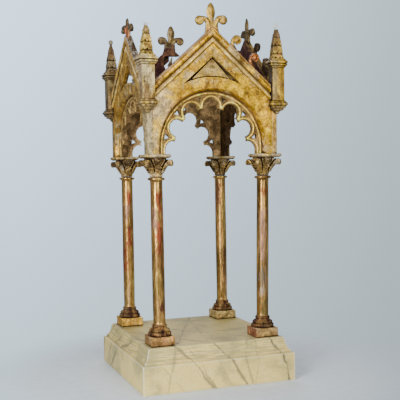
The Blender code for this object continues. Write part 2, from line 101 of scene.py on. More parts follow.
class Shape:
    """Vertices and faces in millimetres, gathered from several closed parts."""

    def __init__(self):
        self.verts = []
        self.faces = []

    def ring(self, points):
        start = len(self.verts)
        self.verts += [tuple(p) for p in points]
        return list(range(start, start + len(points)))

    def tube(self, rings):
        """Closed rings joined into a solid with flat ends."""
        made = [self.ring(points) for points in rings]
        for low, high in zip(made, made[1:]):
            count = len(low)
            for i in range(count):
                j = (i + 1) % count
                self.faces.append((low[i], low[j], high[j], high[i]))
        self.faces.append(tuple(made[0]))
        self.faces.append(tuple(made[-1]))

    def mesh(self, name):
        bm = bmesh.new()
        verts = [bm.verts.new(Vector(v) * MM) for v in self.verts]
        for face in self.faces:
            bm.faces.new([verts[i] for i in face])
        bmesh.ops.recalc_face_normals(bm, faces=bm.faces)
        mesh = bpy.data.meshes.new(name)
        bm.to_mesh(mesh)
        bm.free()
        return mesh


def smooth(mesh, angle=38.0):
    mesh.shade_smooth()
    mesh.set_sharp_from_angle(angle=math.radians(angle))
    return mesh


def solid(name, rings, angle):
    """One tube as a smoothly shaded mesh."""
    shape = Shape()
    shape.tube(rings)
    return smooth(shape.mesh(name), angle)


def evaluated(obj):
    """The object's mesh with its modifiers applied, and the object removed."""
    bpy.context.view_layer.update()
    graph = bpy.context.evaluated_depsgraph_get()
    mesh = bpy.data.meshes.new_from_object(obj.evaluated_get(graph), depsgraph=graph)
    bpy.data.objects.remove(obj, do_unlink=True)
    return mesh


def linked(name, mesh):
    obj = bpy.data.objects.new(name, mesh)
    bpy.context.scene.collection.objects.link(obj)
    return obj


def remeshed(name, mesh, voxel, smoothing, keep=1.0):
    """Fuse overlapping closed parts into one skin, soften it as gesso does, and thin it out."""
    obj = linked(name + "_raw", mesh)
    fuse = obj.modifiers.new("Fuse", "REMESH")
    fuse.mode = "VOXEL"
    fuse.voxel_size = voxel * MM
    soften = obj.modifiers.new("Soften", "SMOOTH")
    soften.factor = 0.5
    soften.iterations = smoothing
    if keep < 1.0:
        thin = obj.modifiers.new("Thin", "DECIMATE")
        thin.ratio = keep
    made = evaluated(obj)
    made.name = name
    made.shade_smooth()
    return made


def turned(angle):
    return Matrix.Rotation(math.radians(angle), 4, "Z")


def at_corner(corner, distance, shift=0.0):
    """A corner's place on the floor, shifted along x."""
    side_x, side_y = CORNERS[corner]
    return (side_x * distance + shift, side_y * distance, 0.0)


def piece(name, mesh, mat, node=None, turn=0.0, place=(0.0, 0.0, 0.0)):
    """Add one visible piece, turned about Z and set in place, that stands for a CAD node."""
    mesh.transform(Matrix.Translation(Vector(place) * MM) @ turned(turn))
    mesh.materials.clear()
    mesh.materials.append(mat)
    obj = linked(name, mesh)
    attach(obj, "root")
    if node:
        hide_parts(node)


def refined_mesh(node, offset, segments=2, least_angle=20.0):
    """A copy of a CAD node's mesh with every edge that turns eased by a small bevel."""
    bm = bmesh.new()
    bm.from_mesh(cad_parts[node].data)
    bmesh.ops.remove_doubles(bm, verts=bm.verts, dist=2e-6)
    bmesh.ops.dissolve_limit(bm, angle_limit=math.radians(0.6), verts=bm.verts, edges=bm.edges)
    least = math.radians(least_angle)
    sharp = [e for e in bm.edges if len(e.link_faces) == 2 and e.calc_face_angle() > least]
    bmesh.ops.bevel(bm, geom=sharp, offset=offset * MM, offset_type="OFFSET", segments=segments,
                    profile=0.6, affect="EDGES", clamp_overlap=True)
    mesh = bpy.data.meshes.new(node + "_fine")
    bm.to_mesh(mesh)
    bm.free()
    return smooth(mesh, 30.0)


def arc(centre, radius, start, end, steps):
    points = []
    for i in range(steps + 1):
        angle = math.radians(start + (end - start) * i / steps)
        points.append((centre[0] + radius * math.cos(angle), centre[1] + radius * math.sin(angle)))
    return points


def lathe(profile, sides):
    """Rings of a turned solid from (radius, height) points, bottom to top."""
    rings = []
    for radius, height in profile:
        circle = arc((0.0, 0.0), radius, 0.0, 360.0, sides)[:-1]
        rings.append([(x, y, height) for x, y in circle])
    return rings


def bead(inner, outer, low, high, steps=8):
    """A half-round moulding on a profile of (half width, height) points."""
    points = []
    for i in range(steps + 1):
        angle = math.pi * i / steps
        reach = inner + (outer - inner) * math.sin(angle)
        points.append((reach, (low + high) / 2.0 - (high - low) / 2.0 * math.cos(angle)))
    return points


def lerp(a, b, t):
    """The mean of two numbers or node values, weighted from the first (0) to the second (1)."""
    return a + (b - a) * t


def smoothstep(low, high, value):
    t = min(1.0, max(0.0, (value - low) / (high - low)))
    return t * t * (3.0 - 2.0 * t)


def spline(points, steps=5):
    """A smooth run through control points of any number of values."""
    last = len(points) - 1
    made = []
    for i in range(last):
        p0, p1, p2, p3 = (points[min(max(i + k, 0), last)] for k in (-1, 0, 1, 2))
        for step in range(steps):
            t = step / steps
            row = []
            for a, b, c, d in zip(p0, p1, p2, p3):
                row.append(0.5 * (2 * b + (c - a) * t + (2 * a - 5 * b + 4 * c - d) * t * t
                                  + (3 * b - a - 3 * c + d) * t ** 3))
            made.append(tuple(row))
    return made + [tuple(points[-1])]


def square_to(path, i):
    """The unit direction square to a path at one of its points."""
    ahead = path[min(i + 1, len(path) - 1)]
    behind = path[max(i - 1, 0)]
    du, dz = ahead[0] - behind[0], ahead[1] - behind[1]
    length = math.hypot(du, dz) or 1.0
    return -dz / length, du / length


def limb(shape, controls, frame_of, boxy=1.0, ridge=0.0, sides=20):
    """A rounded limb through (u, z, half width, half thickness) points in the plane of frame_of.

    A boxy value below 1 flattens its section, and a ridge raises a crest along its middle.
    """
    path = spline(controls)
    rings = []
    for i, (u, z, wide, thick) in enumerate(path):
        nu, nz = square_to(path, i)
        ring = []
        for k in range(sides):
            angle = 2.0 * math.pi * k / sides
            c, s = math.cos(angle), math.sin(angle)
            across = math.copysign(abs(c) ** boxy, c) * max(wide, 0.3)
            crest = (1.0 - abs(c)) ** 0.8
            through = math.copysign(lerp(abs(s) ** boxy, crest, ridge), s) * max(thick, 0.3)
            ring.append(frame_of(u + nu * across, z + nz * across, through))
        rings.append(ring)
    shape.tube(rings)


def ball(shape, centre, radii, frame_of, rings=10, sides=18):
    """An ellipsoid in the plane of frame_of."""
    made = []
    for i in range(1, rings):
        polar_angle = math.pi * i / rings
        girth = math.sin(polar_angle)
        ring = []
        for j in range(sides):
            angle = 2.0 * math.pi * j / sides
            ring.append(frame_of(centre[0] + radii[0] * girth * math.cos(angle),
                                 centre[1] - radii[1] * math.cos(polar_angle),
                                 centre[2] + radii[2] * girth * math.sin(angle)))
        made.append(ring)
    shape.tube(made)


# ---- shader helpers

class Value:
    """A node's output, with the arithmetic that the materials' formulas need."""

    def __init__(self, nodes, socket):
        self.nodes = nodes
        self.socket = socket

    def math(self, operation, other=0.0):
        return self.nodes.add("Math", {0: self, 1: other}, operation=operation)

    def __add__(self, other):
        return self.math("ADD", other)

    def __sub__(self, other):
        return self.math("SUBTRACT", other)

    def __rsub__(self, other):
        return self.nodes.add("Math", {0: other, 1: self}, operation="SUBTRACT")

    def __mul__(self, other):
        return self.math("MULTIPLY", other)

    def __abs__(self):
        return self.math("ABSOLUTE")

    def most(self, other):
        return self.math("MAXIMUM", other)

    def root(self):
        return self.math("SQRT")


class Nodes:
    """A shader tree built with a few short calls."""

    def __init__(self, tree):
        self.tree = tree

    def node(self, kind, inputs, **settings):
        node = self.tree.nodes.new("ShaderNode" + kind)
        for key, value in settings.items():
            setattr(node, key, value)
        for key, value in inputs.items():
            self.put(node.inputs[key], value)
        return node

    def add(self, kind, inputs=None, out=0, **settings):
        return Value(self, self.node(kind, inputs or {}, **settings).outputs[out])

    def put(self, socket, value):
        if isinstance(value, Value):
            self.tree.links.new(value.socket, socket)
        elif isinstance(value, tuple) and len(value) == 3 and len(socket.default_value) == 4:
            socket.default_value = (*value, 1.0)
        else:
            socket.default_value = value

    def split(self, vector):
        return [Value(self, out) for out in self.node("SeparateXYZ", {"Vector": vector}).outputs]

    def ramp(self, value, low, high, start=0.0, end=1.0, kind="SMOOTHSTEP"):
        inputs = {"Value": value, "From Min": low, "From Max": high, "To Min": start, "To Max": end}
        return self.add("MapRange", inputs, interpolation_type=kind)

    def mix(self, amount, a, b, blend="MIX"):
        inputs = {"Factor": amount, 6: a, 7: b}
        return self.add("Mix", inputs, 2, data_type="RGBA", blend_type=blend, clamp_factor=True)


class Material(Nodes):
    """A Principled material, with x, y and z the place on the object in metres."""

    def __init__(self, name):
        self.mat = bpy.data.materials.new(name)
        self.mat.use_nodes = True
        super().__init__(self.mat.node_tree)
        self.shader = self.tree.nodes["Principled BSDF"]
        self.coords = self.add("TexCoord", out="Object")
        self.x, self.y, self.z = self.split(self.coords)

    def set(self, key, value):
        self.put(self.shader.inputs[key], value)

    def place(self, scale=(1.0, 1.0, 1.0), shift=(0.0, 0.0, 0.0)):
        return self.add("Mapping", {"Vector": self.coords, "Scale": scale, "Location": shift})

    def normal(self):
        return self.split(self.add("NewGeometry", out="Normal"))

    def noise(self, vector, scale, detail=3.0, rough=0.5, distortion=0.0):
        inputs = {"Vector": vector, "Scale": scale, "Detail": detail, "Roughness": rough,
                  "Distortion": distortion}
        return self.add("TexNoise", inputs)

    def darken(self, colour, value):
        grey = self.add("CombineColor", {0: value, 1: value, 2: value})
        return self.mix(1.0, colour, grey, "MULTIPLY")

    def open_air(self, distance):
        return self.add("AmbientOcclusion", {"Distance": distance}, "AO", samples=8)

    def arris(self, distance):
        """Near one on convex edges: rays sent inwards soon leave the wood there."""
        inward = self.add("AmbientOcclusion", {"Distance": distance}, "AO", samples=6, inside=True)
        return self.ramp(inward, 0.55, 0.92, 1.0, 0.0)

    def window(self, value, low, high, soft):
        """One between two limits and nought outside them."""
        return self.ramp(value, low - soft, low + soft) * self.ramp(value, high - soft, high + soft, 1.0, 0.0)

    def bump(self, height, distance, strength):
        self.set("Normal", self.add("Bump", {"Height": height, "Distance": distance, "Strength": strength}))


GOLD = (0.46, 0.255, 0.042)
PALE = (0.46, 0.325, 0.135)
BROWN = (0.13, 0.066, 0.020)
BOLE = (0.30, 0.080, 0.032)
# a near black for dirty marks, cracks and dark joints, and for painted shade in hollows, quirks and grooves
DIRT_AND_SHADE = (0.022, 0.012, 0.006)
MAROON = (0.060, 0.018, 0.018)


class Gilding(Material):
    """Worn leaf: dulled and browned in patches, worn to the red bole by rubbing, dirty and painted with shade
    in the hollows, and worn pale with a painted highlight on the edges.
    """

    def __init__(self, name, gold=GOLD, pale=PALE, brown=BROWN, pale_from=0.52, brown_from=0.56,
                 bole_from=0.64, stretch=(1.0, 1.0, 1.0), grain=(1.0, 1.0, 1.0), metal=0.75, rough=0.40,
                 speckle=0.40, hollow_dirt_and_shade=1.0, reach=0.010, edge_wear_and_highlight=0.6, dulling=1.0):
        super().__init__(name)
        self.metal = metal
        self.rough = rough
        vector = self.place(stretch)
        broad = self.noise(vector, 15.0, 4.0, 0.6)
        self.rub = self.noise(vector, 58.0, 6.0, 0.66, 0.4)
        stain = self.noise(self.place(stretch, (3.1, 1.7, 0.6)), 30.0, 5.0, 0.68, 0.3)
        flakes = self.noise(self.place(stretch, (7.3, 4.9, 2.2)), 46.0, 5.0, 0.62, 0.2)
        mottle = self.noise(self.place(stretch, (5.7, 8.8, 1.3)), 72.0, 5.0, 0.62, 0.8)
        self.fine = self.noise(self.place(grain), 420.0, 4.0, 0.65)
        dull = self.ramp(lerp(broad, self.rub, 0.4), pale_from - 0.04, pale_from + 0.05)
        fresh = self.ramp(flakes, 0.52, 0.59) * 0.8
        browned = self.ramp(stain, brown_from - 0.04, brown_from + 0.07) * 0.85
        worn = self.ramp(lerp(self.rub, self.fine, 0.35), bole_from - 0.04, bole_from + 0.03)
        bright = tuple(min(1.0, gain * c) for gain, c in zip((1.6, 1.75, 1.6), gold))
        colour = self.mix(dull, gold, pale)
        colour = self.mix(fresh, colour, bright)
        colour = self.mix(browned, colour, brown)
        colour = self.mix(worn * 0.85, colour, BOLE)
        self.tone = (self.ramp(self.fine, 0.32, 0.68, 1.0 - speckle, 1.0 + 1.2 * speckle)
                     * self.ramp(mottle, 0.36, 0.64, 0.66, 1.32)
                     * self.ramp(self.rub, 0.34, 0.64, 0.70, 1.26))
        colour = self.darken(colour, self.tone)
        # convex edges are worn pale and lit by a painted highlight
        edge = self.arris(0.0022) * edge_wear_and_highlight
        self.colour = self.mix(edge, colour, tuple(min(1.0, 1.1 * c + 0.03) for c in bright))
        self.leaf = ((1.0 - dull * (0.55 * dulling)) * (1.0 - browned * (0.5 * dulling))
                     * (1.0 - worn * (0.8 * dulling)))
        # the hollows are dirty and painted darker, as shade
        dirt_and_shade_mask = lerp(self.open_air(reach), self.rub, 0.35)
        self.patch(self.ramp(dirt_and_shade_mask, 0.46, 0.76, hollow_dirt_and_shade, 0.0), DIRT_AND_SHADE)

    def patch(self, mask, colour, bare=1.0):
        """Lay another colour over a part of the surface, bare of leaf to some degree."""
        self.colour = self.mix(mask, self.colour, self.darken(colour, self.tone))
        self.leaf = self.leaf * (1.0 - mask * bare)

    def tint(self, mask, colour):
        """Multiply a part of the surface by a colour."""
        self.colour = self.mix(mask, self.colour, colour, "MULTIPLY")

    def finish(self, relief=0.6):
        """Connect the gathered colour, leaf and relief to the shader."""
        uneven = self.ramp(self.rub, 0.3, 0.7, self.rough - 0.06, self.rough + 0.06)
        self.set("Base Color", self.colour)
        self.set("Metallic", self.leaf * self.metal)
        self.set("Roughness", (1.0 - self.leaf) * 0.25 + uneven)
        self.set("Specular IOR Level", 0.12)
        self.bump(lerp(self.rub, self.fine, 0.3), 0.0006, relief)
        return self.mat


def depth_mm(n):
    """Distance inwards from the walls' outer faces, in millimetres."""
    return WALL_FACE - abs(n.x).most(abs(n.y)) * 1000.0


def below_edge_mm(n, side):
    """Distance below a gable's edge, square to its slope, in millimetres."""
    u = abs(n.x if side in WALLS_ALONG_X else n.y)
    return (APEX_Z * MM - n.z - u * SLOPE) * (1000.0 / math.sqrt(1.0 + SLOPE * SLOPE))


def board_thickness(side):
    return OUTER_BOARD if side in WALLS_ALONG_X else SIDE_BOARD


# ---- plinth

# each vein: where it crosses the ledge's height on the front face, its slant there, its slant
# going back over the top, half width and darkness
VEINS = (
    (-66.0, 0.74, -0.55, 3.4, 0.80),
    (-52.0, 0.60, -0.30, 1.6, 0.60),
    (26.0, 0.56, -0.75, 2.4, 0.85),
    (-8.0, 0.55, 0.20, 1.2, 0.40),
    (160.0, 0.22, -0.95, 2.0, 1.00),
    (96.0, -0.15, -0.30, 1.1, 0.45),
    (-150.0, 0.9, -0.9, 1.3, 0.35),
    (-120.0, -0.20, 0.45, 1.8, 0.55),
    (60.0, 0.30, 1.10, 1.6, 0.55),
)
CREAM = (0.86, 0.66, 0.21)
LIGHT_CREAM = (0.88, 0.70, 0.28)
OLIVE_CLOUD = (0.50, 0.41, 0.155)
OLIVE_STREAK = (0.44, 0.36, 0.14)
VEIN = (0.19, 0.155, 0.085)


def vein(n, at, slant, back, half, dark, wander, width):
    """The darkness of one vein that runs up the front and back over the top."""
    away = abs(n.x * 1000.0 - at + (n.z - PLINTH_LEDGE * MM) * (1000.0 * slant)
               - (n.y + PLINTH_HALF * MM) * (1000.0 * back) + wander)
    return n.ramp(away, 0.0, width * (half * 2.0), dark, 0.0)


def marble_material():
    """Painted marbling: cream ground, soft olive clouds, brushed streaks and slanting veins."""
    n = Material("marbled_paint")
    place = n.place()
    cloud = n.noise(place, 9.0, 5.0, 0.55, 0.6)
    mottled = n.noise(place, 42.0, 5.0, 0.6)
    fine = n.noise(place, 360.0, 4.0, 0.65)
    streaks = n.noise(n.place((1.0, 1.0, 16.0)), 24.0, 4.0, 0.62)
    colour = n.mix(n.ramp(cloud, 0.44, 0.66), CREAM, OLIVE_CLOUD)
    colour = n.mix(n.ramp(mottled, 0.46, 0.70, 0.0, 0.65), colour, LIGHT_CREAM)
    # the sloping moulding is brushed lengthways
    slope = n.window(n.z, 0.0685, 0.1015, 0.0012)
    colour = n.mix(slope * n.ramp(streaks, 0.42, 0.60) * 0.9, colour, OLIVE_STREAK)
    wander = (n.noise(place, 22.0, 4.0, 0.6) - 0.5) * 26.0
    width = n.ramp(n.noise(place, 30.0, 2.0), 0.35, 0.65, 0.25, 1.6)
    for row in VEINS:
        colour = n.mix(vein(n, *row, wander, width), colour, VEIN)
    colour = n.darken(colour, n.ramp(fine, 0.3, 0.7, 0.86, 1.10))
    # the hollows are dirty and painted darker, as shade
    colour = n.mix(n.ramp(n.open_air(0.012), 0.35, 0.85, 0.6, 0.0), colour, (0.20, 0.16, 0.08))
    # the edges are worn pale and lit by a painted highlight
    colour = n.mix(n.arris(0.0045) * 0.85, colour, (0.96, 0.91, 0.70))
    # the top is painted darker and a little bluer, as shade
    colour = n.mix(n.ramp(n.z, 0.1026, 0.1034), colour, (0.72, 0.73, 0.78), "MULTIPLY")
    n.set("Base Color", colour)
    n.set("Roughness", n.ramp(mottled, 0.3, 0.7, 0.40, 0.56))
    n.set("Specular IOR Level", 0.30)
    n.bump(streaks * slope + mottled * 0.5, 0.0005, 0.4)
    return n.mat


def make_plinth():
    piece("plinth_fine", refined_mesh("plinth", 1.0, 3, 8.0), marble_material(), "plinth")


# ---- feet and columns

# what sets each foot block's worn leaf apart
FOOT_LOOKS = {
    "front_left": {"gold": (0.36, 0.19, 0.060), "pale": (0.40, 0.25, 0.11)},
    "front_right": {"gold": (0.34, 0.20, 0.070), "pale": (0.42, 0.30, 0.15)},
    "back_right": {"gold": (0.46, 0.33, 0.120), "pale": (0.58, 0.46, 0.24)},
    "back_left": {"gold": (0.50, 0.27, 0.045), "pale": (0.46, 0.29, 0.08)},
}


def foot_material(corner):
    n = Gilding("foot_block_" + corner + "_gilding", brown_from=0.57, bole_from=0.60, metal=0.40, rough=0.5,
                **FOOT_LOOKS[corner])
    if corner == "front_right":
        # the left face of this block is rubbed down to the bole
        n.patch(n.ramp(n.x + n.rub * 0.006, 0.1065, 0.1075, 0.85, 0.0), (0.20, 0.070, 0.036))
    return n.finish()


def make_feet():
    for corner in CORNERS:
        node = "foot_block_" + corner
        piece(node + "_fine", refined_mesh(node, 1.0, 3), foot_material(corner), node)


# bands of wear on the columns: height and half height of the band, how far it lies to the
# right (positive) or left of the column's middle, colour
RED_WEAR = (0.30, 0.056, 0.028)
PINK_WEAR = (0.36, 0.19, 0.12)
DARK_WEAR = (0.09, 0.030, 0.020)
OLIVE_WEAR = (0.20, 0.15, 0.045)
COLUMN_WEAR = {
    "front_left": ((435.0, 26.0, 0.5, RED_WEAR), (357.0, 38.0, 0.4, RED_WEAR), (192.0, 14.0, 0.6, DARK_WEAR),
                   (398.0, 26.0, -0.5, PINK_WEAR)),
    "back_left": ((437.0, 20.0, 0.2, RED_WEAR), (400.0, 22.0, -0.2, PINK_WEAR),
                  (357.0, 10.0, 0.2, DARK_WEAR), (335.0, 24.0, 0.2, RED_WEAR), (278.0, 30.0, -0.6, RED_WEAR)),
    "front_right": ((455.0, 10.0, 0.4, BOLE), (385.0, 26.0, -0.1, PINK_WEAR), (325.0, 40.0, 0.0, PINK_WEAR),
                    (240.0, 36.0, -0.1, (0.32, 0.235, 0.15)), (175.0, 22.0, 0.5, OLIVE_WEAR)),
    "back_right": ((445.0, 34.0, -0.6, (0.24, 0.10, 0.045)), (230.0, 70.0, 0.4, (0.19, 0.105, 0.04))),
}
# how bright the leaf of each column is made: partly its own tone, partly painted light and shade
COLUMN_TONE_AND_LIGHT = {"front_left": 1.25, "front_right": 0.82, "back_right": 1.25, "back_left": 1.16}
BASE_RED = (0.080, 0.022, 0.014)
BASE_BLACK = (0.020, 0.007, 0.005)
# the direction, across the floor, that the wear's places are measured along
RIGHTWARD = (0.94, -0.33)


def glowing(colour, glow):
    return tuple(glow * c for c in colour)


def column_material(corner):
    """Long vertical wear to the red bole; the turned base darker and redder than the shaft."""
    glow = COLUMN_TONE_AND_LIGHT[corner]
    n = Gilding("column_gilding_" + corner, gold=glowing((0.54, 0.305, 0.085), glow),
                pale=glowing((0.48, 0.32, 0.14), glow), brown=(0.15, 0.070, 0.026), stretch=(1.0, 1.0, 0.13),
                grain=(1.0, 1.0, 0.16), pale_from=0.56, brown_from=0.55, bole_from=0.62, metal=1.0,
                rough=0.31, dulling=0.4)
    lean = (n.z - FOOT_TOP * MM) * (COLUMN_LEAN[corner] / (NECK_TOP - FOOT_TOP))
    place = at_corner(corner, COLUMN_AXIS)
    off_x = n.x - place[0] * MM - lean
    off_y = n.y - place[1] * MM
    # how far round to the right of the shaft a place lies, from -1 to 1
    radius = SHAFT_RADIUS * MM
    around = off_x * (RIGHTWARD[0] / radius) + off_y * (RIGHTWARD[1] / radius)
    patchy = n.noise(n.place((1.0, 1.0, 0.3), at_corner(corner, 2.0)), 120.0, 5.0, 0.7, 0.4)
    for height, half, bias, colour in COLUMN_WEAR[corner]:
        band = n.window(n.z, (height - half) * MM, (height + half) * MM, 0.010)
        near = 0.12 - abs(around - bias) * 0.28
        n.patch(band * n.ramp(patchy + near, 0.45, 0.56) * 0.9, colour, 0.35)
    base = n.ramp(n.z, 0.151, 0.157, 1.0, 0.0) * n.ramp(n.rub, 0.40, 0.56, 1.0, 0.75)
    n.patch(base, n.mix(n.ramp(n.noise(n.place(), 140.0, 4.0, 0.6), 0.45, 0.60), BASE_BLACK, BASE_RED))
    return n.finish(0.22)


def column_profile():
    base_z = FOOT_TOP + GAP
    profile = [(24.6, base_z)] + bead(24.8, 27.5, base_z + 0.4, 134.4)
    profile += [(23.6, 134.6), (23.4, 135.8)] + bead(22.0, 24.2, 136.0, 141.0)
    profile += [(21.4, 141.2), (20.9, 142.0), (18.6, 143.4), (17.2, 145.2), (16.8, 147.0)]
    profile += bead(16.2, 18.0, 147.4, 151.4) + [(15.6, 151.7), (14.8, 153.0), (14.4, 156.0)]
    for i in range(41):
        t = i / 40.0
        swell = 0.5 * math.sin(math.pi * min(1.0, t * 1.05))
        profile.append((SHAFT_RADIUS + swell, lerp(160.0, 482.0, t)))
    profile += [(14.4, 485.2), (15.6, 486.4)] + bead(16.8, 20.0, 486.6, 492.4)
    return profile + [(15.0, 492.8), (14.4, NECK_TOP)]


def column_mesh(corner):
    """The turned column, not quite true and leaning a little."""
    seed = Vector(at_corner(corner, 9.0))
    rings = []
    for ring in lathe(column_profile(), 72):
        wobbled = []
        for x, y, z in ring:
            swell = 1.0 + 0.014 * noise.noise(Vector((x, y, z * 0.35)) * 0.06 + seed)
            lean = COLUMN_LEAN[corner] * (z - FOOT_TOP) / (NECK_TOP - FOOT_TOP)
            wobbled.append((x * swell + lean, y * swell, z))
        rings.append(wobbled)
    return solid("column_" + corner, rings, 42.0)


def make_columns():
    for corner in CORNERS:
        node = "column_" + corner
        mesh, mat = column_mesh(corner), column_material(corner)
        piece(node + "_turned", mesh, mat, node, place=at_corner(corner, COLUMN_AXIS))


# ---- capitals

# stations along the corner stalks and the side stalks: u, z, half width, half thickness
CORNER_STALK = (
    (17.0, 503.0, 2.2, 5.2), (21.5, 512.0, 3.0, 6.0), (27.0, 520.0, 3.5, 6.6), (33.0, 527.0, 3.8, 6.8),
    (38.2, 530.2, 3.7, 6.6), (41.4, 527.4, 3.2, 6.0), (42.2, 522.4, 2.5, 5.2), (40.6, 518.6, 1.3, 3.6),
)
SIDE_STALK = (
    (17.2, 514.0, 1.2, 1.4), (19.4, 520.0, 1.5, 1.6), (22.6, 526.0, 1.8, 1.8), (25.0, 531.0, 2.2, 2.4),
    (25.6, 534.4, 1.4, 2.2),
)
LEAF_THICK = 3.4


def bell_radius(z):
    t = (z - NECK_TOP) / (CAPITAL_TOP - NECK_TOP)
    return 13.8 + 3.4 * t + 9.0 * smoothstep(0.30, 1.0, t)


def leaf(shape, angle, foot_z, height, reach, width, lobes):
    """A carved leaf that climbs the bell and turns its lobed tip outwards and down."""
    steps, across = 14, 8
    direction = Vector((math.cos(math.radians(angle)), math.sin(math.radians(angle)), 0.0))
    side = Vector((-direction.y, direction.x, 0.0))
    upright = Vector((0.0, 0.0, 1.0))
    rings = []
    for i in range(steps + 1):
        s = i / steps
        bend = smoothstep(0.45, 1.0, s)
        z = foot_z + height * (s - 0.34 * bend * bend * s)
        radius = bell_radius(z) + 0.6 + reach * bend ** 1.6
        lobed = 0.80 + 0.20 * abs(math.sin(math.pi * lobes * s))
        half = width * lobed * math.sin(math.pi * min(1.0, 0.16 + 0.84 * s) ** 0.85) ** 0.6
        half = max(half * (1.0 - 0.55 * s ** 4), 0.4)
        tilt = upright * (1.0 - bend) + direction * bend
        normal = (direction * (1.0 - 0.6 * bend) - upright * (0.32 * bend)).normalized()
        front, back = [], []
        for j in range(across + 1):
            t = 2.0 * j / across - 1.0
            # cupped across, with a sunk vein and two side ribs
            cup = -1.6 * t * t + math.exp(-18.0 * t * t) * (1.0 - s) + 0.5 * math.cos(3.0 * math.pi * t)
            centre = direction * radius + upright * z + side * (half * t)
            front.append(centre + normal * cup)
            back.append(centre + normal * (cup - LEAF_THICK * (1.0 - 0.35 * s)) - tilt * 0.2)
        rings.append(front + back[::-1])
    shape.tube(rings)


def upright_frame(angle, hand=0.0):
    """Maps (radius, z, depth) in an upright plane through the column's axis to a place.

    With a hand of 1 or -1 the plane leans towards a corner as it climbs.
    """
    c, s = math.cos(math.radians(angle)), math.sin(math.radians(angle))

    def frame_of(u, z, depth):
        sideways = depth + hand * (2.6 + 11.0 * smoothstep(508.0, 533.0, z))
        return (c * u - s * sideways, s * u + c * sideways, z)

    return frame_of


def capital_mesh():
    """Bell, two tiers of leaves, stalks that roll over under the abacus corners, and side buds."""
    shape = Shape()
    low = NECK_TOP + GAP
    heights = [lerp(low, CAPITAL_TOP, i / 14.0) for i in range(15)]
    shape.tube(lathe([(bell_radius(z), z) for z in heights], 32))
    for i in range(8):
        leaf(shape, 45.0 * i, 494.4, 18.0, 7.0, 6.2, 3)
    for i in range(8):
        height, reach = (25.0, 9.5) if i % 2 else (22.0, 7.0)
        leaf(shape, 45.0 * i + 22.5, 500.0, 21.0, 7.0, 5.4, 3)
        leaf(shape, 45.0 * i, 505.0, height, reach, 6.8, 4)
    for i in range(4):
        diagonal = upright_frame(45.0 + 90.0 * i)
        limb(shape, CORNER_STALK, diagonal, 0.7, sides=14)
        ball(shape, (35.6, 523.6, 0.0), (5.0, 5.4, 5.4), diagonal)
        straight = upright_frame(90.0 * i)
        ball(shape, (25.2, 531.4, 0.0), (3.0, 3.6, 4.2), straight)
        ball(shape, (27.6, 531.4, 0.0), (1.6, 1.8, 2.0), straight)
        for hand in (-1.0, 1.0):
            limb(shape, SIDE_STALK, upright_frame(90.0 * i, hand), sides=12)
    mesh = shape.mesh("capital_raw")
    for vertex in mesh.vertices:
        # the capital leans a little out towards its corner
        shift = CAPITAL_SHIFT * MM * max(0.0, (vertex.co.z / MM - low) / (CAPITAL_TOP - low))
        vertex.co.x += shift
        vertex.co.y += shift
        vertex.co.z = min(vertex.co.z, CAPITAL_TOP * MM)
    return remeshed("capital", mesh, 0.6, 1, 0.5)


# how bright each capital's leaf is made, partly its own tone and partly painted light and shade; the abaci
# spread a little wider than their solids
CAPITAL_TONE_AND_LIGHT = {"front_left": 1.2, "front_right": 0.8, "back_right": 0.75, "back_left": 1.0}
ABACUS_SPREAD = 1.05


def capital_material(corner):
    glow = CAPITAL_TONE_AND_LIGHT[corner]
    n = Gilding("capital_" + corner + "_gilding", gold=glowing((0.36, 0.215, 0.062), glow),
                pale=glowing((0.42, 0.33, 0.20), glow), brown=(0.055, 0.030, 0.015), brown_from=0.52,
                bole_from=0.66, reach=0.012, edge_wear_and_highlight=0.5, metal=0.6, speckle=0.6)
    return n.finish(0.8)


def abacus_material():
    """Worn leaf, darker below the rounded edge."""
    n = Gilding("abacus_gilding", gold=(0.44, 0.28, 0.075), pale=(0.46, 0.37, 0.21), pale_from=0.48,
                bole_from=0.62, reach=0.008)
    n.patch(n.ramp(n.z, 0.5405, 0.5390, 0.0, 0.75), (0.13, 0.070, 0.030), 0.6)
    return n.finish()


def make_capitals():
    carved = capital_mesh()
    cover = abacus_material()
    spread = Matrix.Diagonal((ABACUS_SPREAD, ABACUS_SPREAD, 1.0, 1.0))
    for corner in CORNERS:
        node = "capital_" + corner
        place = at_corner(corner, COLUMN_AXIS, COLUMN_LEAN[corner])
        mesh, mat = carved.copy(), capital_material(corner)
        piece(node + "_carved", mesh, mat, node, CORNER_TURN[corner], place)
        node = "abacus_" + corner
        slab = refined_mesh(node, 0.9, 3, 12.0)
        middle = Matrix.Translation(Vector(place) * MM)
        slab.transform(middle @ spread @ middle.inverted())
        piece(node + "_fine", slab, cover, node)


# ---- walls

WALL_LOOKS = {
    "front": {"gold": (0.42, 0.225, 0.012), "pale": (0.45, 0.32, 0.12), "pale_from": 0.53,
              "brown_from": 0.58},
    "right": {"gold": (0.42, 0.24, 0.050), "pale_from": 0.54, "brown_from": 0.56},
    "back": {"gold": (0.42, 0.24, 0.050), "pale_from": 0.52, "brown_from": 0.56},
    "left": {"gold": (0.44, 0.24, 0.040), "pale": (0.40, 0.29, 0.13), "pale_from": 0.54,
             "brown_from": 0.58},
}
# ground and specks of what is left on the gables' outer top edges
RAKE_REMAINS = {"front": ((0.34, 0.20, 0.11), (0.12, 0.060, 0.028)),
                "left": ((0.30, 0.24, 0.18), (0.03, 0.022, 0.02))}
FRESH_YELLOW = (0.64, 0.385, 0.012)
GREYISH_LEAF = (0.62, 0.46, 0.23)
OPENING_BROWN = (0.22, 0.125, 0.040)
ARCH_LIP_BROWN = (0.30, 0.15, 0.045)
BOARD_END = (0.42, 0.33, 0.17)
NEAR_BOARD_END = (0.36, 0.29, 0.155)
# how far from the middle the front and side walls' corner joints lie, in metres
CORNER_JOINT = -0.147


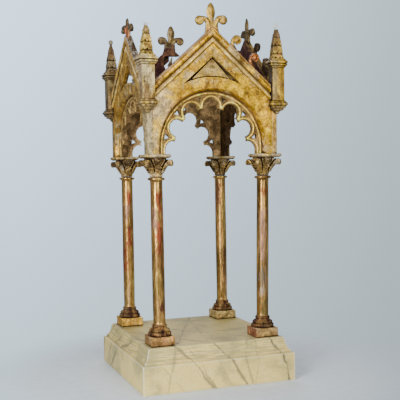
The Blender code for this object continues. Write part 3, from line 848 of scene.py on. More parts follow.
def bare_wood(n):
    """Maroon and brown paint where no leaf was laid."""
    stain = n.noise(n.place(), 38.0, 5.0, 0.65)
    return n.mix(n.ramp(stain, 0.44, 0.66), MAROON, (0.15, 0.070, 0.035))


def arch_lip(n):
    """One along the front arch's edge, fading outwards."""
    rise = (n.z - ARCH_Z * MM).most(0.0)
    radius = (n.x * n.x + rise * rise).root()
    return n.ramp(radius + n.rub * 0.006, 0.1375, 0.1430, 1.0, 0.0)


def cracks(n):
    """The two short upright cracks over the front arch and over the panel."""
    wander = (n.noise(n.place(), 90.0, 3.0) - 0.5) * 0.006
    line = n.ramp(abs(n.x - 0.0006 + wander), 0.0003, 0.0010, 1.0, 0.0)
    heights = n.window(n.z, 0.769, 0.794, 0.002).most(n.window(n.z, 0.698, 0.720, 0.003))
    n.patch(line * heights * 0.85, DIRT_AND_SHADE)


def rough_rake(n, depth, side):
    """Specked remains of gesso along a gable's outer top edge."""
    gesso, specks = RAKE_REMAINS[side]
    edge = n.ramp(n.normal()[2], 0.25, 0.5) * n.ramp(depth, 12.0, 14.0, 1.0, 0.0)
    speckled = n.noise(n.place(), 190.0, 4.0, 0.7)
    n.patch(edge, n.mix(n.ramp(speckled, 0.50, 0.60), gesso, specks))


def touch_front_wall(n, depth, face):
    """The front's own marks: dull on the left, pale at the right, brown at the openings, cracked."""
    n.patch(n.ramp(n.x + n.rub * 0.030, -0.065, -0.110, 0.0, 0.75), GREYISH_LEAF, 0.5)
    n.tint(n.ramp(n.x, 0.080, 0.110) * n.ramp(n.z, 0.700, 0.650), (1.42, 1.42, 1.6))
    n.patch(arch_lip(n) * face * 0.6, ARCH_LIP_BROWN, 0.5)
    n.patch(n.ramp(n.x, CORNER_JOINT + 0.0002, CORNER_JOINT - 0.0004) * 0.8, DIRT_AND_SHADE)
    n.patch(n.ramp(n.z, 0.702, 0.706) * n.window(depth, 1.4, 13.5, 0.5), OPENING_BROWN, 0.4)
    # fresh yellow leaf shows in strokes
    strokes = n.noise(n.place((1.0, 1.0, 0.55), (2.0, 5.0, 8.0)), 24.0, 5.0, 0.6, 1.4)
    n.patch(n.ramp(strokes, 0.50, 0.60) * face * 0.75, FRESH_YELLOW, 0.1)
    cracks(n)


def touch_left_wall(n):
    """The board's end, which shows in front, is paler, and so is its face near by."""
    n.patch(n.ramp(n.y, -0.112, -0.134, 0.0, 0.75), NEAR_BOARD_END, 0.6)
    n.patch(n.ramp(n.y, CORNER_JOINT, CORNER_JOINT - 0.0012) * 0.85, BOARD_END, 0.6)


def wall_material(side):
    """Gilding outside, bare paint on the upper edges' inner half and on the back of the gable."""
    n = Gilding("wall_gilding_" + side, bole_from=0.66, metal=0.62, rough=0.42, **WALL_LOOKS[side])
    depth = depth_mm(n)
    thick = board_thickness(side)
    bare = bare_wood(n)
    n.patch(n.ramp(depth, thick - 1.2, thick - 0.4), bare)
    top = bare
    if side == "right":
        top = n.mix(n.ramp(n.rub, 0.44, 0.56), (0.32, 0.19, 0.080), (0.08, 0.044, 0.022))
    upright = n.normal()[2]
    n.patch(n.ramp(upright, 0.25, 0.5) * n.ramp(depth, 3.0, 6.0), top)
    # faces that look down, deeper in the board, are painted darker brown, as shade
    n.patch(n.ramp(upright, -0.25, -0.6) * n.ramp(depth, 4.0, 10.0, 0.0, 0.75), BROWN, 0.6)
    face = n.ramp(depth, 0.6, 1.4, 1.0, 0.0)
    # the dark line painted on the wall under the raking moulding, as its shade
    n.patch(n.window(below_edge_mm(n, side), 26.4, 28.2, 0.5) * face * 0.8, DIRT_AND_SHADE)
    if side == "front":
        touch_front_wall(n, depth, face)
    if side == "back":
        n.patch(n.ramp(n.z, 0.700, 0.710) * n.ramp(depth, 1.0, 2.0), bare)
    if side in RAKE_REMAINS:
        rough_rake(n, depth, side)
    if side == "left":
        touch_left_wall(n)
    return n.finish()


# ---- tracery

FRET_LOOKS = {
    "front": {"gold": (0.80, 0.48, 0.085), "pale": (0.74, 0.50, 0.16)},
    "right": {"gold": (0.30, 0.17, 0.050), "pale": (0.30, 0.20, 0.09)},
    "back": {"gold": (0.34, 0.20, 0.060), "pale": (0.34, 0.23, 0.10)},
    "left": {"gold": (0.46, 0.28, 0.075), "pale": (0.42, 0.29, 0.12)},
}
# the dark and the lighter brown of each side's fret between and behind its ribs: partly bare ground, partly
# painted shade
FRET_GROUND_AND_SHADE = {
    "front": ((0.110, 0.060, 0.022), (0.30, 0.180, 0.062)),
    "right": ((0.032, 0.016, 0.008), (0.11, 0.060, 0.024)),
    "back": ((0.240, 0.142, 0.058), (0.62, 0.400, 0.170)),
    "left": ((0.120, 0.068, 0.028), (0.24, 0.145, 0.058)),
}
RING_RADIUS = 123.8
RIB_FOOT = ABACUS_TOP + GAP


def fret_material(side):
    """Tracery: leaf on the ribs, brown between them, deeper in and behind, where the brown is partly bare
    ground and partly painted shade.
    """
    n = Gilding("fret_gilding_" + side, pale_from=0.54, brown_from=0.58, metal=0.6, reach=0.004, hollow_dirt_and_shade=0.6,
                edge_wear_and_highlight=0.45, **FRET_LOOKS[side])
    thick = board_thickness(side)
    depth = depth_mm(n)
    brown = n.mix(n.ramp(n.noise(n.place(), 46.0, 5.0, 0.65), 0.42, 0.64), *FRET_GROUND_AND_SHADE[side])
    # the fret behind the ribs is brown: bare ground, darkened further as painted shade
    n.patch(n.ramp(depth, thick - 1.5, thick - 0.5, 0.0, 0.92), brown, 0.8)
    if side == "back":
        # the inner corner's edge has kept some of its leaf
        n.patch(n.ramp(n.x, 0.1310, 0.1325) * n.ramp(depth, 20.0, 24.0) * 0.9, (0.46, 0.31, 0.13), 0.4)
    return n.finish()


def wall_frame(u, z, depth):
    return (u, depth - WALL_FACE, z)


def sweep(shape, path, section, base_depth):
    """A moulding along a path in the wall's plane. The section is (offset, proud) points."""
    rings = []
    for i, (u, z) in enumerate(path):
        nu, nz = square_to(path, i)
        rings.append([wall_frame(u + nu * a, z + nz * a, base_depth - proud) for a, proud in section])
    shape.tube(rings)


def half_round(half, proud):
    """A rib's section, sunk a little into the board it stands on."""
    sunk, steps = 0.5, 8
    points = [(-half, -sunk)]
    for i in range(steps + 1):
        angle = math.pi * i / steps
        points.append((-half * math.cos(angle), proud * math.sin(angle) ** 0.8))
    return points + [(half, -sunk)]


def polar(radius, degrees):
    angle = math.radians(degrees)
    return (radius * math.cos(angle), ARCH_Z + radius * math.sin(angle))


def foil_path(k):
    """The rib round one foil; k is 0 at the top, 3 at the left foot and -3 at the right foot."""
    direction = 90.0 + FOIL_PITCH * k
    start = 180.0 if k == 3 else direction + 99.0
    end = 0.0 if k == -3 else direction - 99.0
    path = arc(polar(FOIL_CENTRE, direction), FOIL_RADIUS + 3.3, start, end, 22)
    if k == 3:
        path = [(path[0][0], RIB_FOOT)] + path
    if k == -3:
        path = path + [(path[-1][0], RIB_FOOT)]
    return path


def tracery_ribs(base):
    """The ring round the arch, a rib round each foil and a low boss on each cusp."""
    shape = Shape()
    ends = [(-RING_RADIUS, RIB_FOOT), (-RING_RADIUS, 554.0)]
    path = ends + arc((0.0, ARCH_Z), RING_RADIUS, 180.0, 0.0, 72) + [(-u, z) for u, z in reversed(ends)]
    sweep(shape, path, half_round(2.3, 3.0), base)
    for k in range(3, -4, -1):
        sweep(shape, foil_path(k), half_round(2.1, 2.7), base)
        if k > -3:
            u, z = polar(CUSP_RADIUS + 4.6, 90.0 + FOIL_PITCH * (k - 0.5))
            ball(shape, (u, z, base), (4.6, 4.6, 3.0), wall_frame)
    return shape.mesh("ribs")


def joined(first, second):
    """Two meshes in one."""
    bm = bmesh.new()
    bm.from_mesh(first)
    bm.from_mesh(second)
    bm.to_mesh(first)
    bm.free()
    return first


def make_walls():
    for side, turn in WALLS:
        node = "wall_" + side
        piece(node + "_fine", refined_mesh(node, 0.5, 2, 15.0), wall_material(side), node)
        node = "tracery_" + side
        ribs = tracery_ribs(board_thickness(side) + GAP)
        ribs.transform(turned(turn))
        board = smooth(joined(refined_mesh(node, 0.7, 2, 28.0), ribs), 45.0)
        piece(node + "_carved", board, fret_material(side), node)


# ---- raking mouldings and panel

# the raking moulding's section: (distance below the edge, height above the wall)
RAKE_SECTION = (
    (0.0, 0.0), (0.0, 3.2), (0.8, 4.1), (2.2, 4.5), (3.8, 4.2), (4.5, 3.6), (5.2, 4.1), (7.6, 4.7),
    (10.0, 4.7), (12.0, 4.2), (13.3, 3.2), (14.0, 1.7), (14.3, 0.7), (17.4, 0.6), (18.0, 1.2), (19.2, 1.7),
    (20.4, 2.7), (21.8, 3.8), (23.2, 4.0), (24.6, 3.5), (25.8, 2.2), (26.5, 0.8), (26.6, 0.0),
)
# the bright leaf on the moulding's lower roll, brightened further as a painted highlight
ROLL_GOLD_AND_HIGHLIGHT = {"front": (0.84, 0.58, 0.17), "right": (0.50, 0.30, 0.08), "back": (0.50, 0.30, 0.08),
             "left": (0.66, 0.45, 0.15)}
# the quirk between the mouldings, grimy and painted dark as shade: where it starts and ends below the edge,
# and how softly
WIDE_QUIRK = (12.8, 18.6, 0.8)
NARROW_QUIRK = (14.5, 17.7, 0.5)


def rake(u):
    """The height of a gable's edge."""
    return APEX_Z - SLOPE * abs(u)


def rake_material(side):
    """Leaf, brightest on the lower roll as a painted highlight, with the quirks between the mouldings and the
    groove under the top bead grimy and painted dark as shade.
    """
    looks = WALL_LOOKS[side]
    n = Gilding("rake_gilding_" + side, gold=glowing(looks["gold"], 1.35), pale_from=0.53,
                brown_from=looks["brown_from"] - 0.01, stretch=(0.6, 0.6, 0.6), metal=0.68, rough=0.36,
                reach=0.006, edge_wear_and_highlight=0.8)
    below = below_edge_mm(n, side)
    depth = depth_mm(n)
    if side == "front":
        n.patch(n.ramp(below, 2.2, 3.8, 0.85, 0.0), (0.27, 0.15, 0.075), 0.6)
    if side in RAKE_REMAINS:
        rough_rake(n, depth, side)
    # the lower roll's leaf, brightened as a painted highlight
    n.patch(n.window(below, 20.4, 25.0, 0.8) * 0.8, ROLL_GOLD_AND_HIGHLIGHT[side], 0.2)
    # the moulding's back, seen through the gable's opening, is bare
    n.patch(n.ramp(depth, -0.55, -0.40, 0.0, 0.95), MAROON)
    # the quirks are grimy and painted dark as shade
    quirk = WIDE_QUIRK if side == "left" else NARROW_QUIRK
    n.patch(n.window(below, *quirk) * 0.92, DIRT_AND_SHADE)
    # the groove under the top bead is grimy and painted dark as shade
    n.patch(n.window(below, 4.1, 5.0, 0.4) * 0.6, DIRT_AND_SHADE)
    return n.finish()


def rake_mesh(node, turn, sign):
    """The section drawn down one slope, a little wavy as planed by hand."""
    slant = math.sqrt(1.0 + SLOPE * SLOPE)
    start = BROKEN_RAKE_START if node == "rake_back_left" else GAP / 2.0
    steps = 24
    rings = []
    for i in range(steps + 1):
        u = lerp(start, SHOULDER_END + 0.6, i / steps)
        wave = 0.2 * noise.noise(Vector((u * 0.045, turn, sign))) if 0 < i < steps else 0.0
        edge = rake(u) + wave - 0.3
        rings.append([wall_frame(sign * u, edge - below * slant, -proud - GAP)
                      for below, proud in RAKE_SECTION])
    return solid(node, rings, 32.0)


def make_rakes():
    for side, turn in WALLS:
        mat = rake_material(side)
        for hand, sign in (("left", -1.0), ("right", 1.0)):
            node = "rake_{}_{}".format(side, hand)
            piece(node + "_moulded", rake_mesh(node, turn, sign), mat, node, turn)


def make_front_panel():
    n = Gilding("panel_gilding", gold=(0.40, 0.240, 0.050), pale=(0.38, 0.265, 0.090), pale_from=0.48,
                brown_from=0.60, metal=0.5, rough=0.48)
    piece("front_panel_fine", refined_mesh("front_panel", 0.6), n.finish(), "front_panel")


# ---- finials

FINIAL_LOOKS = {
    "front": {"gold": (0.44, 0.27, 0.055), "pale": (0.42, 0.30, 0.12), "brown_from": 0.58},
    "right": {"gold": (0.20, 0.130, 0.050), "pale": (0.24, 0.18, 0.11), "brown": (0.06, 0.036, 0.015),
              "brown_from": 0.49},
    "back": {"gold": (0.28, 0.18, 0.060), "pale": (0.25, 0.19, 0.10), "brown": (0.06, 0.034, 0.017),
             "brown_from": 0.48},
    "left": {"gold": (0.20, 0.135, 0.065), "pale": (0.22, 0.17, 0.11), "brown": (0.05, 0.032, 0.018),
             "brown_from": 0.52},
}
FINIAL_STEM = (
    (0.0, 812.5, 22.6, 3.2), (0.0, 817.5, 20.6, 3.6), (0.0, 822.0, 18.6, 3.8), (-0.3, 829.0, 16.4, 3.8),
    (-0.5, 836.0, 15.4, 3.7), (-0.6, 843.0, 15.2, 3.3), (-0.8, 849.0, 11.0, 2.6), (-1.0, 853.0, 4.0, 1.6),
)
# stations up the middle leaf: share of the tip's offset, height above the petals' middle as a
# fixed part and a share of the leaf's span, half width, half thickness
MIDDLE_LEAF = (
    (0.1, -12.0, 0.0, 0.8, 2.2), (0.3, -5.0, 0.0, 3.4, 3.6), (0.6, 4.0, 0.0, 7.4, 4.3),
    (0.85, 0.0, 0.30, 10.0, 4.5), (1.0, 0.0, 0.48, 10.9, 4.5), (1.0, 0.0, 0.68, 9.3, 4.1),
    (1.0, 0.0, 0.84, 6.6, 3.2), (1.0, 0.0, 0.94, 3.6, 2.0), (1.0, -0.2, 1.0, 0.8, 0.6),
)
# the roll under each petal's tip, from the middle of its round end
PETAL_ROLL = ((8.0, 1.0, 1.2, 4.0), (5.5, -5.6, 1.8, 4.6), (-1.0, -7.6, 2.0, 4.6), (-6.2, -4.4, 1.8, 4.4),
              (-7.4, -0.4, 1.0, 3.6))


def plate_frame(u, z, depth):
    """A place in a carved plate, with the depth measured from the plate's middle."""
    return (u, PLATE_MIDDLE + depth - WALL_FACE, z)


def petal(shape, hand, waist, end, curl):
    """One side petal, with a round end whose tip turns under as a low roll."""
    cu, cz = end
    reach = abs(cu)
    stations = ((5.0, waist - 19.0, 3.0, 3.2), (8.0, waist - 11.0, 5.4, 4.2),
                (8.4 + 0.09 * reach, waist - 3.5, 5.8, 4.5),
                (lerp(10.0, reach, 0.30), lerp(waist + 1.5, cz + 3.4, 0.6), 6.0, 4.5),
                (lerp(10.0, reach, 0.62), cz + 4.2, 5.9, 4.4), (reach, cz + 3.6, 6.2, 4.4),
                (reach + 2.0, cz + 1.0, 4.0, 3.6))
    limb(shape, [(hand * u, z, wide, deep) for u, z, wide, deep in stations], plate_frame, 0.85, sides=22)
    ball(shape, (cu, cz, 0.0), (curl, curl, 4.5), plate_frame, 16, 28)
    roll = [(cu + hand * du, cz + dz, wide, deep) for du, dz, wide, deep in PETAL_ROLL]
    limb(shape, roll, plate_frame, 0.9, sides=12)


def finial_mesh(name, sizes):
    """A fleur-de-lis: stem, ridged middle leaf and two side petals with round ends."""
    shape = Shape()
    tip_u, tip_z = sizes["tip"]
    waist = (sizes["left"][1] + sizes["right"][1]) / 2.0
    limb(shape, FINIAL_STEM, plate_frame, 0.55, sides=28)
    span = tip_z - waist
    middle = [(share * tip_u, waist + fixed + part * span, wide, deep)
              for share, fixed, part, wide, deep in MIDDLE_LEAF]
    limb(shape, middle, plate_frame, 0.85, 0.7, sides=28)
    petal(shape, -1.0, waist, sizes["left"], sizes["curl"])
    petal(shape, 1.0, waist, sizes["right"], sizes["curl"])
    return remeshed(name, shape.mesh(name), 0.75, 3, 0.7)


def edge_on(n):
    """One on the cut edges of a plate in the front or the back gable."""
    return n.ramp(abs(n.normal()[1]), 0.40, 0.78, 1.0, 0.0)


def finial_material(side):
    n = Gilding("finial_gilding_" + side, reach=0.015, metal=0.66, rough=0.36, edge_wear_and_highlight=0.4,
                **FINIAL_LOOKS[side])
    if side in WALLS_ALONG_X:
        # the plates' cut edges, turned away from the light, are painted brown as shade
        n.patch(edge_on(n) * 0.8, (0.13, 0.070, 0.026), 0.6)
    if side == "left":
        # the leaf is rubbed off the stem down to orange bole, and the tips are black
        stem = n.ramp(abs(n.y), 0.012, 0.016, 1.0, 0.0) * n.ramp(n.rub, 0.40, 0.50, 0.2, 0.95)
        n.patch(n.window(n.z, 0.828, 0.858, 0.004) * stem, (0.46, 0.14, 0.05))
        n.patch(n.ramp(n.z, 0.866, 0.874), (0.05, 0.04, 0.03), 0.8)
    if side == "back":
        n.patch(n.ramp(n.z, 0.832, 0.838, 0.95, 0.0), MAROON)
        n.patch(n.ramp(abs(n.x), 0.011, 0.017, 0.0, 0.6), (0.12, 0.062, 0.032), 0.4)
    if side == "right":
        n.patch(n.ramp(n.z, 0.884, 0.889), (0.03, 0.025, 0.02), 0.8)
    if side == "front":
        n.tint(n.ramp(n.z, 0.842, 0.832), (1.0, 0.82, 0.72))
    return n.finish(0.7)


def make_finials():
    for side, turn in WALLS:
        node = "finial_" + side
        mesh = finial_mesh(node, FINIALS[side])
        piece(node + "_carved", mesh, finial_material(side), node, turn)


# ---- crockets

DARK_CROCKET = {"gold": (0.16, 0.096, 0.038), "pale": (0.18, 0.13, 0.085), "brown": (0.035, 0.020, 0.013),
                "brown_from": 0.48, "metal": 0.55, "rough": 0.42, "edge_wear_and_highlight": 0.5}
CROCKET_LOOKS = {
    "crocket_front_right_upper": {
        "gold": (0.40, 0.225, 0.028), "pale": (0.36, 0.23, 0.065), "brown_from": 0.58, "metal": 0.6,
        "rough": 0.36, "reach": 0.008, "edge_wear_and_highlight": 0.2},
    "crocket_front_right_lower": {
        "gold": (0.36, 0.125, 0.030), "pale": (0.24, 0.11, 0.052), "brown": (0.09, 0.032, 0.018),
        "pale_from": 0.56, "brown_from": 0.54, "metal": 0.85, "rough": 0.26, "edge_wear_and_highlight": 0.15},
}
# the brown painted as shade on the cut edges of the two front crockets
CROCKET_EDGE_SHADE = {"crocket_front_right_upper": (0.16, 0.075, 0.035),
                 "crocket_front_right_lower": (0.14, 0.060, 0.035)}
# the crocket that slipped down its rake, by how much, and the leaf it spreads to the pinnacle
SLIPPED = "crocket_right_left_lower"
CROCKET_SLIP = 4.0
SPREAD_LEAF = ((3.0, 0.0, 9.0, 3.4), (5.5, 8.0, 8.4, 3.8), (5.5, 16.0, 6.8, 4.2), (3.5, 24.0, 5.0, 4.6))
STUB_STEM = ((-3.2, 2.2, 6.2, 3.6), (-4.4, 7.0, 4.6, 4.2), (-6.4, 13.0, 3.0, 4.4), (-8.0, 19.0, 1.8, 3.4),
             (-9.2, 24.6, 0.6, 1.2))


def on_rake(u, sign, stations):
    """Limb stations given from a place on the rake's edge, on the left (-1) or right (1) slope."""
    return [(sign * (u + du), rake(u) + dz, wide, deep) for du, dz, wide, deep in stations]


def crocket_mesh(name, u, sign):
    """A leaf that leaves the rake, leans towards the apex and wraps round a ball."""
    thick = 7.0 if name == SLIPPED else 5.6
    shape = Shape()
    curled = ((-7.0, 2.6, 8.6, 3.2), (-8.6, 8.0, 6.8, 3.6), (-10.6, 15.0, 5.2, 4.0), (-11.4, 22.0, 4.2, 4.4),
              (-9.0, 30.5, 3.4, 4.6), (-2.5, 36.2, 3.0, thick), (5.0, 35.0, 2.9, thick),
              (8.6, 28.6, 2.7, thick), (6.6, 22.0, 2.5, 4.6), (1.0, 19.2, 2.0, 4.0), (-3.0, 20.6, 1.2, 3.2))
    limb(shape, on_rake(u, sign, curled), plate_frame, 0.85, sides=16)
    curl_z = rake(u) + CURL_LIFT
    fill = 9.4 if name in CROCKET_LOOKS else 8.2
    ball(shape, (sign * u, curl_z, 0.0), (fill, fill, thick), plate_frame, 14, 24)
    core = CURL_RADIUS - 2.2
    ball(shape, (sign * (u - 0.6), curl_z, 0.0), (core, core, 3.0), plate_frame, 12, 20)
    if name == SLIPPED:
        limb(shape, on_rake(u, sign, SPREAD_LEAF), plate_frame, 0.8, sides=16)
    return remeshed(name, shape.mesh(name), 0.65, 2, 0.7)


def crocket_material(name):
    n = Gilding(name, **CROCKET_LOOKS.get(name, DARK_CROCKET))
    if name in CROCKET_EDGE_SHADE:
        # the cut edges, turned away from the light, are painted darker as shade
        n.patch(edge_on(n) * 0.7, CROCKET_EDGE_SHADE[name], 0.6)
    if name == "crocket_front_right_upper":
        # below the curl the stem is dark
        n.patch(n.ramp(n.z, 0.800, 0.793), (0.10, 0.06, 0.03))
    return n.finish()


def make_crockets():
    for side, hand in (("front", "right"), ("right", "left"), ("right", "right"), ("back", "right")):
        sign = -1.0 if hand == "left" else 1.0
        for level, u in CROCKET_PLACES.items():
            node = "crocket_{}_{}_{}".format(side, hand, level)
            slip = CROCKET_SLIP if node == SLIPPED else 0.0
            mesh = crocket_mesh(node, u + slip, sign)
            piece(node + "_carved", mesh, crocket_material(node), node, WALL_TURN[side])


def make_stubs():
    """The two splintered stems where crockets broke off."""
    for side, u, sign in STUBS:
        node = "crocket_stub_" + side
        shape = Shape()
        limb(shape, on_rake(u, sign, STUB_STEM), plate_frame, 0.8)
        mesh = remeshed(node, shape.mesh(node), 0.6, 1)
        piece(node + "_carved", mesh, crocket_material(node), node, WALL_TURN[side])


# ---- pinnacles

PINNACLE_LOOKS = {
    "front_left": {"gold": (0.66, 0.43, 0.100), "pale": (0.58, 0.46, 0.22), "pale_from": 0.50},
    "front_right": {"gold": (0.38, 0.22, 0.022), "pale": (0.29, 0.21, 0.080), "pale_from": 0.54},
    "back_right": {"gold": (0.28, 0.19, 0.065), "pale": (0.27, 0.215, 0.12), "pale_from": 0.52},
    "back_left": {"gold": (0.24, 0.165, 0.07), "pale": (0.27, 0.215, 0.14), "pale_from": 0.52},
}
# heights between which a quirk of the lower or the upper collar is grimy and painted dark as shade
COLLAR_QUIRKS = ((656.2, 658.0), (664.2, 665.8), (668.6, 670.6), (744.6, 746.2), (749.4, 750.8),
                 (755.9, 757.4))
# how much darker each pinnacle's left face is painted, as shade, and how far it stands off its place, along x
LEFT_FACE_SHADE = {"front_left": (0.72, 0.66, 0.80), "front_right": (0.34, 0.34, 0.60),
             "back_right": (0.6, 0.6, 0.7), "back_left": (0.8, 0.8, 0.9)}
PINNACLE_SHIFT = {"front_left": 0.0, "front_right": 1.4, "back_right": 0.0, "back_left": 0.0}
CORNER_EASE = 0.9


def eased_square(half, height):
    """A square ring whose corners are slightly rounded."""
    radius = min(CORNER_EASE, 0.45 * half)
    reach = half - radius
    ring = []
    for quarter, (side_x, side_y) in enumerate(((1, 1), (-1, 1), (-1, -1), (1, -1))):
        start = 90.0 * quarter
        corner = arc((side_x * reach, side_y * reach), radius, start, start + 90.0, 3)
        ring += [(x, y, height) for x, y in corner]
    return ring


def pinnacle_profile():
    """(half width, height) of the pendant drop, lower collar, shaft and upper collar."""
    drop = [(1.2, 638.4), (2.8, 638.8), (4.2, 639.8), (4.9, 641.4), (5.0, 643.0), (6.2, 644.6), (8.6, 645.9)]
    drop += [(11.4, 646.7), (12.6, 647.2), (13.2, 648.2), (12.6, 650.0), (14.4, 651.2), (16.6, 652.8)]
    lower = [(17.6, 654.6), (18.0, 656.6), (19.2, 658.0)] + bead(19.6, 21.4, 658.4, 663.6, 6)
    lower += [(19.0, 664.6), (18.9, 665.6), (17.4, 667.4), (15.6, 669.4), (SHAFT_HALF, 670.6)]
    upper = [(SHAFT_HALF, 745.4), (15.2, 746.0), (16.6, 747.2), (17.6, 748.8), (18.1, 750.4)]
    upper += bead(18.6, 20.8, 750.8, 755.8, 6) + [(20.0, 756.8), (21.4, 757.6), (21.7, 759.0), (21.4, 760.6)]
    return drop + lower + upper + [(19.6, 762.2), (17.8, 763.6), (17.2, 765.6), (16.4, PINNACLE_TOP)]


def notched(name, mesh):
    """The pinnacle less the canopy's corner, which its lower part is cut to fit."""
    near, far = WALL_FACE + GAP - PINNACLE_AXIS, -40.0
    square = ((near, near), (far, near), (far, far), (near, far))
    block = Shape()
    block.tube([[(x, y, z) for x, y in square] for z in (620.0, SHOULDER_Z + 0.15)])
    cutter = linked(name + "_corner", block.mesh(name + "_corner"))
    obj = linked(name + "_whole", mesh)
    cut = obj.modifiers.new("Corner", "BOOLEAN")
    cut.operation = "DIFFERENCE"
    cut.solver = "EXACT"
    cut.object = cutter
    made = evaluated(obj)
    bpy.data.objects.remove(cutter, do_unlink=True)
    return made


def pinnacle_mesh(node, twist):
    shape = Shape()
    shape.tube([eased_square(half, height) for half, height in pinnacle_profile()])
    mesh = shape.mesh(node)
    mesh.transform(turned(twist))
    return smooth(notched(node, mesh), 30.0)


def pinnacle_material(corner):
    """Greyish leaf; the quirks of both collars grimy and painted dark as shade, the drop under the lower
    collar painted browner as shade, and the left face painted darker as shade.
    """
    n = Gilding("pinnacle_" + corner + "_gilding", brown_from=0.55, metal=0.55, rough=0.42, edge_wear_and_highlight=0.45,
                stretch=(1.0, 1.0, 0.45), **PINNACLE_LOOKS[corner])
    # the collars' quirks are grimy and painted dark as shade
    for low, high in COLLAR_QUIRKS:
        n.patch(n.window(n.z, low * MM, high * MM, 0.0004) * 0.8, DIRT_AND_SHADE)
    # the drop under the lower collar is painted browner, as shade
    n.patch(n.ramp(n.z, 0.6565, 0.6545, 0.0, 0.7), (0.22, 0.155, 0.080), 0.5)
    # the left face is painted darker and bluer, as shade
    n.tint(n.ramp(n.normal()[0], -0.6, -0.85), LEFT_FACE_SHADE[corner])
    return n.finish()


def make_pinnacles():
    for corner in CORNERS:
        node = "pinnacle_" + corner
        mesh = pinnacle_mesh(node, TWIST[corner])
        place = at_corner(corner, PINNACLE_AXIS, PINNACLE_SHIFT[corner])
        mat = pinnacle_material(corner)
        piece(node + "_squared", mesh, mat, node, CORNER_TURN[corner], place)


# ---- spirelets

# (height, half width above the rim, half width just under the next rim, where the drilled
# holes stand across each face, from 0 in the middle to 1 at the corners)
EVEN_TIERS = ((767.8, 13.4, 11.2, (0.45,)), (778.2, 12.5, 9.2, (0.0, 1.0)), (797.2, 10.2, 6.8, (0.5,)),
              (815.4, 7.4, 4.3, (0.0, 1.0)))
STOUT_TIERS = ((767.8, 13.4, 12.0, (0.45,)), (779.5, 12.5, 9.9, (0.0, 1.0)), (799.0, 10.0, 7.4, (0.5,)),
               (819.0, 7.9, 4.8, (0.0, 1.0)))
TIERS = {"front_left": EVEN_TIERS, "front_right": STOUT_TIERS, "back_right": EVEN_TIERS,
         "back_left": EVEN_TIERS}
TIER_TOP = {"front_left": 833.0, "front_right": 837.0, "back_right": 833.0, "back_left": 833.0}
# the unbroken top's bud: height and half width
BUD = ((833.0, 4.2), (836.0, 3.2), (838.0, 3.4), (840.5, 4.9), (843.5, 5.8), (846.4, 5.7), (848.8, 4.4),
       (850.2, 1.9))
# how many of the topmost rings a break upsets
SPLINTERED_RINGS = 14
SPIRELET_LOOKS = {
    "front_left": {"gold": (0.60, 0.385, 0.075), "pale": (0.44, 0.33, 0.16), "brown_from": 0.54},
    "front_right": {"gold": (0.30, 0.185, 0.040), "pale": (0.25, 0.175, 0.090), "brown_from": 0.54},
    "back_right": {"gold": (0.22, 0.15, 0.055), "pale": (0.22, 0.17, 0.10), "brown_from": 0.50},
    "back_left": {"gold": (0.21, 0.15, 0.065), "pale": (0.24, 0.195, 0.13), "brown_from": 0.50},
}


def scallop(across, holes):
    """Nought where a hole is drilled between two scales and one in the middle of a scale."""
    phase = math.pi * (across - holes[0]) / (1.0 if len(holes) > 1 else 2.0 * holes[0])
    return abs(math.sin(phase)) ** 0.7


def spirelet_half(z, across, tiers, summit):
    """Half width of the scaled spire at a height and a place across a face."""
    tops = [tier[0] for tier in tiers[1:]] + [summit]
    half = tiers[0][1]
    for (rim, wide, narrow, holes), top in zip(tiers, tops):
        full = scallop(across, holes)
        edge = rim + 2.4 - 3.4 * full if rim > tiers[0][0] else rim
        if z >= edge:
            t = min(1.0, (z - edge) / (top - edge))
            half = lerp(wide, narrow, t) + 0.8 * full * (1.0 - t) ** 1.5
        for hole in holes:
            away = ((abs(across) - hole) * wide / 1.9) ** 2 + ((z - rim - 1.4) / 1.9) ** 2
            half -= 3.2 * math.exp(-away)
    if z > summit:
        for (z0, h0), (z1, h1) in zip(BUD, BUD[1:]):
            if z0 <= z <= z1:
                half = lerp(h0, h1, (z - z0) / (z1 - z0))
    return half


def spirelet_mesh(corner, broken, seed):
    """Tiers of drilled scales on a square spire, up to a bud or to an uneven, splintered break."""
    low, high = PINNACLE_TOP + GAP, TIER_TOP[corner] if broken else BUD[-1][0]
    count = 110 if broken else 136
    across_steps = 20
    lean = math.tan(math.radians(LEAN[corner]))
    rings = []
    for i in range(count + 1):
        z = lerp(low, high, i / count)
        rounding = smoothstep(820.0, 838.0, z)
        splintered = max(0.0, (i - count + SPLINTERED_RINGS) / SPLINTERED_RINGS) if broken else 0.0
        ring = []
        for quarter in range(4):
            turn = turned(TWIST[corner] + 90.0 * quarter)
            for j in range(across_steps):
                across = 2.0 * j / across_steps - 1.0
                half = spirelet_half(z, across, TIERS[corner], TIER_TOP[corner])
                square = Vector((half, half * across, 0.0))
                place = turn @ square.lerp(square.normalized() * half, rounding)
                rise = noise.noise(Vector((place.x * 0.42, place.y * 0.42, seed)))
                top = z + splintered * (3.6 * rise - 1.0)
                ring.append((place.x + lean * (z - low), place.y, top))
        rings.append(ring)
    return solid("spirelet_" + corner, rings, 60.0)


def spirelet_material(corner):
    """Leaf with dark arcs painted under the scales' rims as shade, a browner upper third and a pale bud worn
    by rubbing.
    """
    n = Gilding("spirelet_gilding_" + corner, metal=0.55, rough=0.42, reach=0.007, **SPIRELET_LOOKS[corner])
    # a dark band is painted under each scale rim, as its shade
    for tier in TIERS[corner][1:]:
        n.patch(n.window(n.z, (tier[0] - 2.6) * MM, (tier[0] + 0.4) * MM, 0.0007) * 0.8, DIRT_AND_SHADE)
    n.patch(n.ramp(n.z, 0.802, 0.822) * 0.72, (0.12, 0.072, 0.034), 0.6)
    n.patch(n.ramp(n.z, 0.8385, 0.8405, 0.0, 0.8), (0.40, 0.34, 0.25), 0.5)
    return n.finish(0.8)


